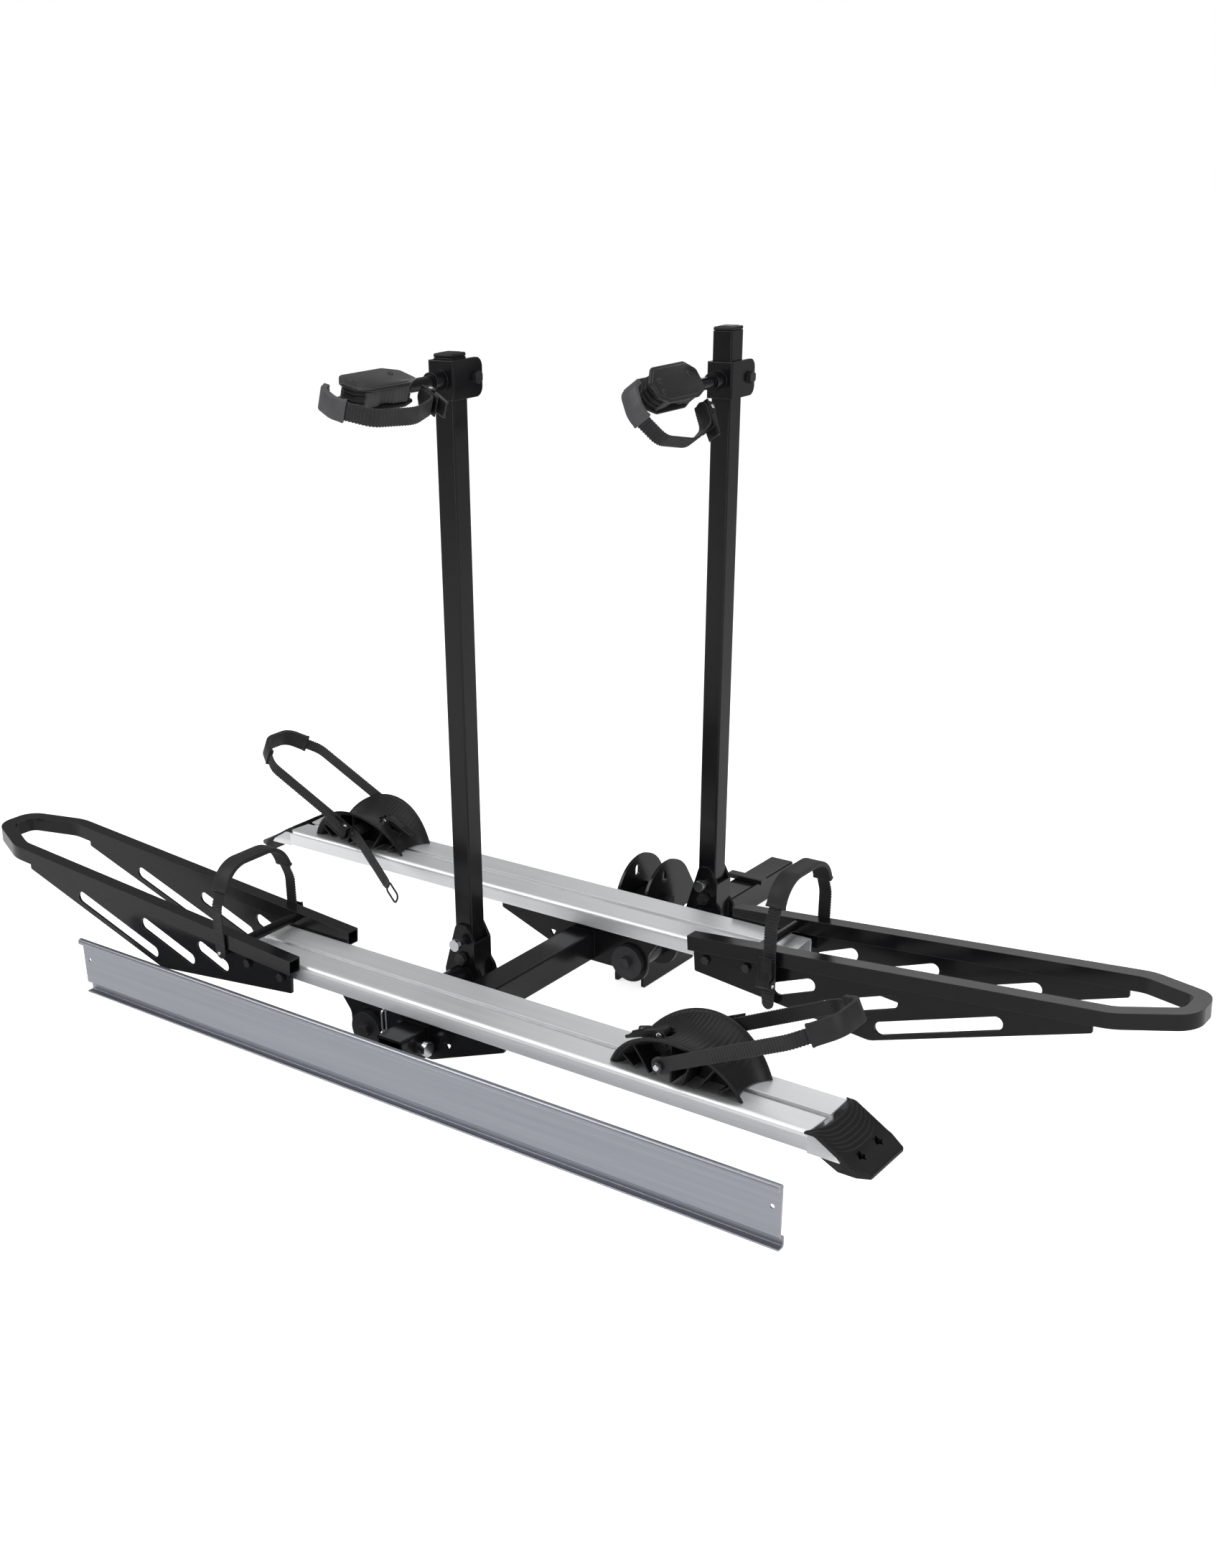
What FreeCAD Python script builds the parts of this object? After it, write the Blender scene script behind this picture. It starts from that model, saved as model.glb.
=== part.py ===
import FreeCAD, Part
import math
import os

from FreeCAD import Placement, Rotation, Vector

# Hitch mounted bike rack for two bikes. Millimetres, +Z up, +Y towards the vehicle, +X along the trays.
# The origin is the centre of the hitch-pin hole in the shank.
#
# The rack's two ends are the same parts turned half a turn about Z, so the far tray, far wheel cup
# and right hoop reuse the shapes of the near tray, near wheel cup and left hoop.

DIMENSIONS = {
    # two-inch square tube of the shank and the spine
    "tube_size": 50.8,
    "tube_wall": 4.0,
    "tube_corner": 4.0,
    "shank_near_y": -478.0,
    "shank_end_y": 63.5,
    "hitch_pin_hole": 16.3,
    "spine_near_y": -1138.0,
    "spine_end_y": -382.0,
    "spine_z": 95.0,
    # tilt pivot between the shank's ears
    "pivot_y": -407.0,
    "pivot_z": 105.0,
    "pivot_bolt": 12.0,
    "ear_radius": 76.0,
    "ear_thickness": 5.5,
    "ear_gap": 0.5,
    "lock_pin": 12.0,
    "lock_y": -457.0,
    "lock_z": 93.0,
    "running_gap": 0.05,
    "stop_bar_length": 76.0,
    # trays and their brackets
    "tray_length": 1075.0,
    "tray_width": 115.0,
    "tray_depth": 30.0,
    "tray_wall": 2.4,
    "tray_floor_z": 133.0,
    "tray_shift": 152.5,
    "near_tray_y": -1028.0,
    "far_tray_y": -581.0,
    "end_cap_length": 90.0,
    "slot_width": 11.0,
    "channel_width": 22.0,
    "bracket_plate": 5.0,
    "bracket_half_gap": 42.5,
    "lobe_radius": 38.0,
    "lobe_z": 85.0,
    "seat_thickness": 5.0,
    "arm_tube": 42.0,
    "arm_tube_wall": 3.0,
    "washer_diameter": 60.0,
    "washer_thickness": 10.0,
    # masts
    "mast_size": 35.0,
    "mast_wall": 2.5,
    "mast_x": 98.0,
    "mast_setback": 213.0,
    "mast_foot_z": 106.0,
    "mast_top_z": 1068.0,
    "mast_pivot_z": 118.0,
    "mast_lock_z": 148.0,
    "mast_lock_pin": 10.0,
    "right_mast_lean": 28.0,
    "flange_plate": 5.0,
    "flange_half_gap": 18.0,
    # collars and frame clamps
    "left_collar_z": 1038.0,
    "right_collar_z": 996.0,
    "collar_height": 55.0,
    "collar_plate": 5.0,
    "collar_gap": 0.5,
    "collar_bolt": 10.0,
    "clamp_arm": 19.0,
    "left_roll": 17.0,
    "right_roll": 55.0,
    "clamp_plate": 5.0,
    "clamp_core": 26.0,
    "clamp_strap_width": 25.0,
    "clamp_strap_thickness": 3.5,
    # wheel hoops
    "hoop_start_x": 234.0,
    "hoop_top_z": 178.6,
    "hoop_rise": 4.5,
    "rail_size": 25.0,
    "rail_wall": 2.0,
    "rail_half_width": 70.5,
    "hoop_length": 782.5,
    "side_plate": 4.5,
    "cross_bar": 16.0,
    "hoop_bolt": 8.0,
    # straps
    "strap_width": 22.0,
    "strap_thickness": 3.5,
    "pad_width": 32.0,
    "pad_thickness": 7.0,
    # wheel cups
    "near_cup_x": 472.0,
    "far_cup_x": 525.0,
    "cup_length": 220.0,
    "cup_width": 120.0,
    "cup_rim_radius": 121.4,
    "cup_groove_radius": 104.0,
    "cup_axis_drop": 51.4,
    "cup_sheet": 4.0,
    "cup_pivot_x": -8.0,
    "cup_pivot_z": 34.0,
    "strap_angle": 25.5,
    # accessory pin
    "accessory_pin": 15.9,
    "accessory_pin_y": -1094.0,
    "clip_wire": 2.6,
    # loading ramp
    "ramp_length": 1398.0,
    "ramp_y": -1157.0,
    "ramp_bottom_z": 18.0,
    "ramp_depth": 104.0,
    "ramp_sheet": 2.5,
}

TINY = 1e-6
UP = (0, 0, 1)
ALONG_X = (1, 0, 0)
ALONG_Y = (0, 1, 0)

doc = FreeCAD.newDocument("bike_rack")
dims = doc.addObject("Spreadsheet::Sheet", "dims")
nodes = []


def fill_sheet():
    """One row per driving dimension: its name, its value and the alias that expressions use."""
    for row, (alias, value) in enumerate(DIMENSIONS.items(), start=1):
        dims.set(f"A{row}", alias)
        dims.set(f"B{row}", str(value))
        dims.setAlias(f"B{row}", alias)
    doc.recompute()


def val(alias):
    """A driving dimension as a number."""
    return float(dims.get(alias))


def bind(thing, prop, size):
    """Ties a property to the sheet. A size is an expression of the sheet's aliases or a plain number."""
    thing.setExpression(prop, str(size))


# ---------------------------------------------------------------- outlines


def rounded_corner(before, here, after, radius):
    """Start point, arc (or None) and end point of one corner of an outline."""
    into = (here - before).normalize()
    out = (after - here).normalize()
    turn = into.getAngle(out)
    if radius <= 0 or turn < TINY:
        return here, None, here
    reach = radius * math.tan(turn / 2)
    start = here - into * reach
    end = here + out * reach
    inward = (out - into).normalize()
    centre = here + inward * (radius / math.cos(turn / 2))
    return start, Part.Arc(start, centre - inward * radius, end), end


def outline(vertices):
    """Closed outline through (x, y) or (x, y, corner radius) vertices, as lines and tangent arcs."""
    points = [Vector(vertex[0], vertex[1], 0) for vertex in vertices]
    radii = [vertex[2] if len(vertex) > 2 else 0 for vertex in vertices]
    count = len(points)
    corners = []
    for i in range(count):
        corners.append(rounded_corner(points[i - 1], points[i], points[(i + 1) % count], radii[i]))
    edges = []
    for i in range(count):
        arc = corners[i][1]
        end = corners[i][2]
        following = corners[(i + 1) % count][0]
        if arc:
            edges.append(arc)
        if (following - end).Length > TINY:
            edges.append(Part.LineSegment(end, following))
    return edges


def arc_vertices(x, y, radius, start, end):
    """Vertices whose rounded corners follow a circle from one angle to another, in degrees."""
    pieces = max(1, math.ceil(abs(end - start) / 80))
    half = math.radians((end - start) / pieces / 2)
    far = radius / math.cos(half)
    vertices = [(x + radius * math.cos(math.radians(start)), y + radius * math.sin(math.radians(start)))]
    for i in range(pieces):
        middle = math.radians(start) + half * (2 * i + 1)
        vertices.append((x + far * math.cos(middle), y + far * math.sin(middle), radius))
    vertices.append((x + radius * math.cos(math.radians(end)), y + radius * math.sin(math.radians(end))))
    return vertices


def rectangle(width, depth, radius=0, x=0, y=0):
    """Rounded rectangle about a centre."""
    across = width / 2
    along = depth / 2
    return outline([
        (x - across, y - along, radius),
        (x + across, y - along, radius),
        (x + across, y + along, radius),
        (x - across, y + along, radius),
    ])


def circle(x, y, diameter):
    return [Part.Circle(Vector(x, y, 0), Vector(0, 0, 1), diameter / 2)]


def slot(first, last, width):
    """Round-ended slot whose tips are at first and last."""
    a = Vector(first[0], first[1], 0)
    b = Vector(last[0], last[1], 0)
    along = (b - a).normalize()
    side = Vector(-along.y, along.x, 0) * (width / 2)
    a = a + along * (width / 2)
    b = b - along * (width / 2)
    return [
        Part.LineSegment(a - side, b - side),
        Part.Arc(b - side, b + along * (width / 2), b + side),
        Part.LineSegment(b + side, a + side),
        Part.Arc(a + side, a - along * (width / 2), a - side),
    ]


def beside(path, offset):
    """An open path moved sideways, with its corner radii grown or shrunk to match."""
    points = [Vector(vertex[0], vertex[1], 0) for vertex in path]
    moved = []
    for i, vertex in enumerate(path):
        first = points[max(i, 1)] - points[max(i, 1) - 1]
        last_index = min(i, len(path) - 2)
        last = points[last_index + 1] - points[last_index]
        first.normalize()
        last.normalize()
        across_first = Vector(-first.y, first.x, 0)
        across_last = Vector(-last.y, last.x, 0)
        step = (across_first + across_last) * (offset / (1 + across_first.dot(across_last)))
        radius = vertex[2] if len(vertex) > 2 else 0
        left_turn = first.x * last.y - first.y * last.x > 0
        if radius:
            radius = radius - offset if left_turn else radius + offset
        moved.append((points[i].x + step.x, points[i].y + step.y, radius))
    return moved


def band(path, width):
    """Closed outline of a strip of even width along an open path."""
    return outline(beside(path, width / 2) + beside(path, -width / 2)[::-1])


# ---------------------------------------------------------------- solids


def sketch_on(body, role, outlines):
    """Sketch on one of the body's own origin planes."""
    plane = [feature for feature in body.Origin.OriginFeatures if feature.Role == role][0]
    sketch = body.newObject("Sketcher::SketchObject", body.Name + "_profile")
    sketch.AttachmentSupport = [(plane, "")]
    sketch.MapMode = "FlatFace"
    for edges in outlines:
        sketch.addGeometry(edges, False)
    return sketch


def padded(name, role, outlines, length, place=None):
    """Body made by padding a sketch evenly to both sides of an origin plane."""
    body = doc.addObject("PartDesign::Body", name)
    sketch = sketch_on(body, role, outlines)
    pad = body.newObject("PartDesign::Pad", name + "_pad")
    pad.Profile = sketch
    pad.SideType = "Symmetric"
    bind(pad, "Length", length)
    if place:
        body.Placement = place
    return body


def at(x=0, y=0, z=0, axis=UP, angle=0):
    """Placement at a point, turned about an axis."""
    return Placement(Vector(x, y, z), Rotation(Vector(*axis), angle))


def rod(name, diameter, length, start, direction, place=None):
    """Round bar from a start point along a direction."""
    bar = doc.addObject("Part::Cylinder", name)
    bind(bar, "Radius", f"({diameter}) / 2")
    bind(bar, "Height", length)
    own = Placement(Vector(*start), Rotation(Vector(0, 0, 1), Vector(*direction)))
    bar.Placement = place.multiply(own) if place else own
    return bar


def hexagon(name, across_corners, length, start, direction, place=None):
    """Six-sided bar from a start point along a direction."""
    bar = doc.addObject("Part::Prism", name)
    bar.Polygon = 6
    bind(bar, "Circumradius", f"({across_corners}) / 2")
    bind(bar, "Height", length)
    own = Placement(Vector(*start), Rotation(Vector(0, 0, 1), Vector(*direction)))
    bar.Placement = place.multiply(own) if place else own
    return bar


def block(name, size, corner, place=None):
    """Box from its lowest corner; each size is an expression or a number."""
    box = doc.addObject("Part::Box", name)
    for prop, length in zip(("Length", "Width", "Height"), size):
        bind(box, prop, length)
    own = Placement(Vector(*corner), Rotation())
    box.Placement = place.multiply(own) if place else own
    return box


def fused(name, pieces):
    whole = doc.addObject("Part::MultiFuse", name)
    whole.Shapes = pieces
    return whole


def without(name, base, tools):
    """The base with one or more tools cut out of it."""
    result = doc.addObject("Part::Cut", name)
    result.Base = base
    result.Tool = tools[0] if len(tools) == 1 else fused(name + "_tools", tools)
    return result


def shared(name, first, second):
    """The space that two solids have in common."""
    result = doc.addObject("Part::Common", name)
    result.Base = first
    result.Tool = second
    return result


def group(name, pieces):
    """Separate solids that share one node."""
    whole = doc.addObject("Part::Compound", name)
    whole.Links = pieces
    return whole


def node(name, thing):
    """Registers a finished sub-part under its own label."""
    thing.Label = name
    nodes.append(thing)


def step_along(start, direction, distance):
    return tuple(start[i] + direction[i] * distance for i in range(3))


def bolt(name, diameter, length, start, direction, place=None, nut_at=None):
    """Hex bolt from under its head, and a nut if the bolt carries one. Returns separate solids."""
    size = val(diameter)
    head_height = 0.65 * size
    back = step_along(start, direction, -head_height)
    shank = rod(name + "_shank", "dims." + diameter, length, start, direction, place)
    head = hexagon(name + "_head", 1.85 * size, head_height, back, direction, place)
    pieces = [fused(name, [shank, head])]
    if nut_at is not None:
        nut_start = step_along(start, direction, nut_at)
        nut = hexagon(name + "_nut_body", 1.85 * size, 0.8 * size, nut_start, direction, place)
        thread = rod(name + "_thread", "dims." + diameter, 0.8 * size, nut_start, direction, place)
        pieces.append(without(name + "_nut", nut, [thread]))
    return pieces


def square_tube(name, length, place):
    """Two-inch square tube along Y."""
    size = val("tube_size")
    inside = size - 2 * val("tube_wall")
    profile = [rectangle(size, size, val("tube_corner")), rectangle(inside, inside, 1.5)]
    return padded(name, "XZ_Plane", profile, length, place)


def hole(name, diameter, start, direction, length, place=None):
    """Tool for a running-fit hole; the diameter is the pin's."""
    return rod(name, f"dims.{diameter} + 2 * dims.running_gap", length, start, direction, place)


# ---------------------------------------------------------------- shank and tilt pivot


def build_shank():
    near = val("shank_near_y")
    end = val("shank_end_y")
    reach = val("tube_size")
    tube = square_tube("shank_blank", "dims.shank_end_y - dims.shank_near_y", at(0, (near + end) / 2, 0))
    pin_hole = rod("hitch_pin_drill", "dims.hitch_pin_hole", 2 * reach, (-reach, 0, 0), ALONG_X)
    node("shank_tube", without("shank", tube, [pin_hole]))

    bar_profile = [rectangle(20, 10, 2)]
    bar = padded("stop_bar_body", "YZ_Plane", bar_profile, "dims.stop_bar_length",
                 at(0, -72, reach / 2 + 5))
    node("stop_bar", bar)
    build_ears()


def ear_outline():
    """Side view of one ear: a foot on the shank and a round head about the pivot."""
    y = val("pivot_y")
    z = val("pivot_z")
    foot = [(-483, -42, 4), (-318, -42), (-300, -24), (-300, 18, 4), (-350, 34, 6), (-354, 76, 6)]
    neck = [(-322, 76, 4), (-307, 90, 4)]
    return outline(foot + neck + arc_vertices(y, z, val("ear_radius"), 33, 180))


def build_ears():
    half = val("tube_size") / 2
    gap = val("ear_gap")
    thick = val("ear_thickness")
    pivot = (val("pivot_y"), val("pivot_z"))
    lock = (val("lock_y"), val("lock_z"))
    # the upper slot meets the spine's lock hole when the rack is folded up
    folded = (pivot[0] + lock[1] - pivot[1], pivot[1] - lock[0] + pivot[0])
    profile = [
        ear_outline(),
        circle(pivot[0], pivot[1], val("pivot_bolt") + 2 * val("running_gap")),
        circle(lock[0], lock[1], val("lock_pin") + 2 * val("running_gap")),
        slot((folded[0], folded[1] - 11), (folded[0], folded[1] + 11), 14),
    ]
    weld = [rectangle(150, 44, 4, -392, 0)]
    ears = []
    for side, word in ((-1, "left"), (1, "right")):
        plate = padded(word + "_ear_plate", "YZ_Plane", profile, "dims.ear_thickness",
                       at(side * (half + gap + thick / 2), 0, 0))
        pad = padded(word + "_ear_weld", "YZ_Plane", weld, "dims.ear_gap",
                     at(side * (half + gap / 2), 0, 0))
        pieces = [plate, pad]
        if side < 0:
            outside = -(half + gap + thick)
            sleeve = rod("lock_sleeve", "dims.lock_pin + 8", 20, (outside - 20, lock[0], lock[1]), ALONG_X)
            bore = hole("lock_sleeve_bore", "lock_pin", (outside - 30, lock[0], lock[1]), ALONG_X, 30)
            pieces.append(without("lock_housing", sleeve, [bore]))
        ears.append(fused(word + "_ear", pieces))
    node("shank_ears", group("ears", ears))

    face = half + gap + thick
    pieces = bolt("tilt_bolt", "pivot_bolt", 2 * face + 14, (face, pivot[0], pivot[1]), (-1, 0, 0),
                  None, 2 * face)
    node("tilt_pivot_bolt", group("tilt_pivot", pieces))

    # the lock pin is drawn back, with its tip inside the left ear
    tip = -(half + gap + 0.3)
    length = 84
    shaft = rod("lock_shaft", "dims.lock_pin", length, (tip, lock[0], lock[1]), (-1, 0, 0))
    knob = rod("lock_knob", "2 * dims.lock_pin", 14, (tip - length, lock[0], lock[1]), (-1, 0, 0))
    node("tilt_lock_pin", fused("lock_plunger", [shaft, knob]))


# ---------------------------------------------------------------- spine and tray brackets


def build_spine():
    near = val("spine_near_y")
    end = val("spine_end_y")
    z = val("spine_z")
    reach = val("tube_size")
    tube = square_tube("spine_blank", "dims.spine_end_y - dims.spine_near_y", at(0, (near + end) / 2, z))
    places = (("pivot_bolt", val("pivot_y"), val("pivot_z")),
              ("lock_pin", val("lock_y"), val("lock_z")),
              ("accessory_pin", val("accessory_pin_y"), z))
    tools = [hole("spine_" + pin, pin, (-reach, y, height), ALONG_X, 2 * reach) for pin, y,
             height in places]
    node("spine_tube", without("spine", tube, tools))
    build_accessory_pin()


def build_accessory_pin():
    """Hitch pin across the open end of the spine, held by a hairpin clip."""
    y = val("accessory_pin_y")
    z = val("spine_z")
    wire = val("clip_wire")
    clip_x = -44
    head_x = 34
    shaft = rod("accessory_shaft", "dims.accessory_pin", head_x + 52, (-52, y, z), ALONG_X)
    head = rod("accessory_head", "1.55 * dims.accessory_pin", 8, (head_x, y, z), ALONG_X)
    pin = fused("accessory_pin_blank", [shaft, head])
    clip_hole = rod("clip_hole", "1.5 * dims.clip_wire", 40, (clip_x, y, z - 20), UP)
    node("accessory_pin", without("accessory_pin_part", pin, [clip_hole]))

    grip = val("accessory_pin") / 2 + wire / 2 + 0.3
    bow = 46
    path = [(0, -20), (0, bow, 4.5), (-grip, bow, 4.5), (-grip, -14, 10), (-grip - 5, -22)]
    clip = padded("clip_body", "YZ_Plane", [band(path, wire)], "dims.clip_wire", at(clip_x, y, z))
    node("accessory_pin_clip", clip)


def bracket_outline():
    """Front view of a tray bracket: a lobe on its left, a long wing on its right."""
    floor = val("tray_floor_z")
    radius = val("lobe_radius")
    lobe = arc_vertices(-val("mast_x"), val("lobe_z"), radius, 180, 330)
    left = [(-154, floor, 2), (-154, floor - 5, 3), (-136, 104, 20)]
    wing = [(-60, 66, 4), (30, 66, 10), (175, floor - 12, 3), (175, floor, 2)]
    return outline(left + lobe + wing)


def build_bracket(word, place):
    """Two wing plates and the seat between them, welded round the spine."""
    size = val("tube_size")
    floor = val("tray_floor_z")
    seat_depth = val("seat_thickness")
    arm = val("arm_tube") + 2 * val("running_gap")
    half_gap = val("bracket_half_gap")
    profile = [
        bracket_outline(),
        rectangle(size, size, 0, 0, val("spine_z")),
        circle(-val("mast_x"), val("lobe_z"), arm),
        outline([(56, 104, 2), (72, 104, 2), (64, 91, 2)]),
    ]
    pieces = []
    for side in (-1, 1):
        shift = at(0, side * (half_gap + val("bracket_plate") / 2), 0)
        pieces.append(padded(f"{word}_wing", "XZ_Plane", profile, "dims.bracket_plate",
                             place.multiply(shift)))
    seat = block(word + "_seat", (280, "2 * dims.bracket_half_gap", "dims.seat_thickness"),
                 (-130, -half_gap, floor - seat_depth), place)
    bracket = fused(word + "_bracket_blank", pieces + [seat])
    tools = []
    for x, y in tray_bolt_places():
        tools.append(hole(word + "_seat_hole", "hoop_bolt", (x, y, floor - 20), UP, 40, place))
    return without(word + "_bracket", bracket, tools)


def tray_bolt_places():
    return [(x, y) for x in (-115, 130) for y in (-32, 32)]


def build_brackets():
    """Brackets and mast arms. Returns the fasteners that hold them."""
    wall = val("arm_tube_wall")
    z = val("lobe_z")
    x = -val("mast_x")
    front = -val("bracket_half_gap") - val("bracket_plate")
    length = val("mast_setback") - val("flange_half_gap") - val("flange_plate") - front
    floor = val("tray_floor_z")
    end_wall = 12
    brackets = []
    arms = []
    washers = []
    bolts = []
    for word, place in (("near", near_place()), ("far", far_place())):
        brackets.append(build_bracket(word, place))
        foot_side = 1 if word == "near" else -1
        start = (x, front, z)
        along = ALONG_Y
        if foot_side < 0:
            # the far tray's own front is its back, so its arm starts at the plate facing the near tray
            start = (x, -front, z)
            along = (0, -1, 0)
        tube = rod(word + "_arm_blank", "dims.arm_tube", length, start, along, place)
        bore = rod(word + "_arm_bore", f"dims.arm_tube - {2 * wall}", length,
                   step_along(start, along, end_wall),
                   along, place)
        drill = hole(word + "_arm_drill", "pivot_bolt", start, along, end_wall, place)
        arms.append(without(word + "_mast_arm", tube, [bore, drill]))
        back = step_along(start, along, -val("washer_thickness"))
        washer = rod(word + "_washer_blank", "dims.washer_diameter", "dims.washer_thickness", back,
                     along, place)
        washer_hole = hole(word + "_washer_hole", "pivot_bolt", back, along, val("washer_thickness"), place)
        washers.append(without(word + "_washer", washer, [washer_hole]))
        bolts += bolt(word + "_washer_bolt", "pivot_bolt", val("washer_thickness") + end_wall + 8,
                      back, along, place)
        for i, (bolt_x, bolt_y) in enumerate(tray_bolt_places()):
            under_seat = (bolt_x, bolt_y, floor - val("seat_thickness"))
            bolts += bolt(f"{word}_tray_bolt_{i}", "hoop_bolt", 17, under_seat, UP, place,
                          val("seat_thickness") + val("tray_wall"))
    node("tray_brackets", group("brackets", brackets))
    node("mast_arms", group("arms", arms))
    return washers + bolts


# ---------------------------------------------------------------- trays


def near_place():
    return at(0, val("near_tray_y"), 0)


def far_place():
    """The near end's layout turned half a turn about Z."""
    return at(0, val("far_tray_y"), 0, UP, 180)


def tray_profile():
    """Hollow extrusion with a T-slot along its middle and a shallow fall towards it."""
    half = val("tray_width") / 2
    depth = val("tray_depth")
    wall = val("tray_wall")
    lip = val("slot_width") / 2
    channel = val("channel_width") / 2
    fall = 2.5
    lip_top = depth - fall
    lip_under = lip_top - wall
    channel_floor = 18
    skin = outline([
        (-half, 0, 2), (half, 0, 2), (half, depth, 8), (lip, lip_top, 0.5), (lip, lip_under),
        (channel, lip_under), (channel, channel_floor), (-channel, channel_floor), (-channel, lip_under),
        (-lip, lip_under), (-lip, lip_top, 0.5), (-half, depth, 8),
    ])
    inner = channel + wall
    outer = half - wall
    roof_in = lip_under + fall * (inner - lip) / (half - lip)
    loops = [skin]
    for side in (-1, 1):
        chamber = [(side * inner, wall, 1), (side * outer, wall, 1), (side * outer, depth - wall, 6),
                   (side * inner, roof_in, 1)]
        loops.append(outline(chamber[::side]))
    loops.append(rectangle(2 * channel, channel_floor - 2 * wall, 1, 0, channel_floor / 2))
    return loops


def build_tray(word, place):
    floor = val("tray_floor_z")
    shift = val("tray_shift")
    blank = padded(word + "_tray_blank", "YZ_Plane", tray_profile(), "dims.tray_length",
                   place.multiply(at(shift, 0, floor)))
    tools = []
    for x, y in tray_bolt_places():
        tools.append(hole(word + "_floor_hole", "hoop_bolt", (x, y, floor - 5), UP, 10, place))
    hoop = hoop_place(place)
    reach = val("rail_half_width")
    depth = reach - val("tray_width") / 2 + val("tray_wall") + 2
    for u, v in hoop_bolt_places():
        for side in (-1, 1):
            tools.append(hole(word + "_side_hole", "hoop_bolt", (u, side * reach, v), (0, -side, 0),
                              depth, hoop))
    return without(word + "_tray_part", blank, tools)


def build_end_cap(word, place):
    """Plastic nose in the tray's open end: it slopes down, narrows outward and has two drain holes."""
    half = val("tray_width") / 2
    depth = val("tray_depth")
    length = val("end_cap_length")
    start = val("tray_shift") + val("tray_length") / 2
    floor = val("tray_floor_z")
    spot = place.multiply(at(start, 0, floor))
    side_view = [outline([(0, -2), (30, -4, 20), (length - 6, -18, 3), (length, -12, 3), (62, -1, 40),
                          (10, depth, 12),
                          (0, depth)])]
    plan = [outline([(0, -half), (42, -half, 20), (length, -34, 8), (length, 34, 8), (42, half, 20),
                     (0, half)])]
    wedge = padded(word + "_cap_wedge", "XZ_Plane", side_view, "dims.tray_width", spot)
    footprint = padded(word + "_cap_plan", "XY_Plane", plan, 120, spot)
    nose = shared(word + "_cap_nose", wedge, footprint)
    drain_x = 60
    tools = []
    for y in (-24, 24):
        tools.append(hexagon(word + "_cap_hole", 13, 80, (drain_x, y, -40), UP, spot))
    return without(word + "_end_cap_part", nose, tools)


def build_trays():
    for word, place in (("near", near_place()), ("far", far_place())):
        node(word + "_tray", build_tray(word, place))
        node(word + "_end_cap", build_end_cap(word, place))


# ---------------------------------------------------------------- wheel hoops


def hoop_place(tray_place):
    """Hoop frame: u runs outward along the rails and climbs, v is up from the rails' top."""
    outward = at(-val("hoop_start_x"), 0, val("hoop_top_z"), UP, 180)
    rise = at(0, 0, 0, ALONG_Y, -val("hoop_rise"))
    return tray_place.multiply(outward).multiply(rise)


def hoop_bolt_places():
    return ((28, -41), (104, -41))


def build_hoop(word, place):
    size = val("rail_size")
    half = val("rail_half_width")
    end = val("hoop_length")
    knee = 690
    path = [(0, half), (knee, half, 60), (end, 30, 30), (end, -30, 30), (knee, -half, 60), (0, -half)]
    longer = [(-10, half)] + path[1:-1] + [(-10, -half)]
    middle = place.multiply(at(0, 0, -size / 2))
    solid = padded(word + "_rail_blank", "XY_Plane", [band(path, size)], "dims.rail_size", middle)
    hollow = padded(word + "_rail_bore", "XY_Plane", [band(longer, size - 2 * val("rail_wall"))],
                    "dims.rail_size - 2 * dims.rail_wall", middle)
    node(word + "_hoop_rail", without(word + "_rail", solid, [hollow]))


def side_plate_profile():
    """Tapered web under a rail, lightened by three slots."""
    slots = (((328, -103), (532, -52)), ((235, -85), (366, -50)), ((152, -70), (226, -48)))
    top = -val("rail_size")
    edge = outline([(5, top), (5, -64, 3), (319, -125, 30), (663, -41, 3), (663, top)])
    bolt_holes = [circle(u, v, val("hoop_bolt") + 2 * val("running_gap")) for u, v in hoop_bolt_places()]
    return [edge] + [slot(first, last, 22) for first, last in slots] + bolt_holes


def build_hoop_fittings():
    half = val("rail_half_width")
    plate = val("side_plate")
    inner_rail = half - val("rail_size") / 2
    tray_side = val("tray_width") / 2
    plates = []
    bars = []
    spacers = []
    bolts = []
    for word, tray in (("left", near_place()), ("right", far_place())):
        place = hoop_place(tray)
        for side in (-1, 1):
            plates.append(padded(f"{word}_side_plate", "XZ_Plane", side_plate_profile(), "dims.side_plate",
                                 place.multiply(at(0, side * half, 0))))
            inner = side * (half - plate / 2)
            outer = side * (half + plate / 2)
            for u, v in hoop_bolt_places():
                along = (0, -side, 0)
                length = abs(inner) - tray_side
                ring = rod(f"{word}_spacer_blank", 22, length, (u, inner, v), along, place)
                ring_hole = hole(f"{word}_spacer_hole", "hoop_bolt", (u, inner, v), along, length, place)
                spacers.append(without(f"{word}_spacer", ring, [ring_hole]))
                bolts += bolt(f"{word}_hoop_bolt", "hoop_bolt", 26, (u, outer, v), along, place)
        bars.append(rod(word + "_cross_bar", "dims.cross_bar", 2 * inner_rail,
                        (121, -inner_rail, -10), ALONG_Y, place))
    node("hoop_side_plates", group("side_plates", plates))
    node("hoop_cross_bars", group("cross_bars", bars))
    node("hoop_fasteners", group("hoop_fastener_set", spacers + bolts))


def build_hoops():
    build_hoop("left", hoop_place(near_place()))
    build_hoop("right", hoop_place(far_place()))
    build_hoop_fittings()


# ---------------------------------------------------------------- straps and buckles


def frame_of(origin, along, outward):
    """Placement whose X runs along a strap and whose Z points out of it."""
    x = Vector(*along).normalize()
    z = Vector(*outward).normalize()
    return Placement(Vector(*origin), Rotation(x, z.cross(x), z, "ZXY"))


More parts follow.
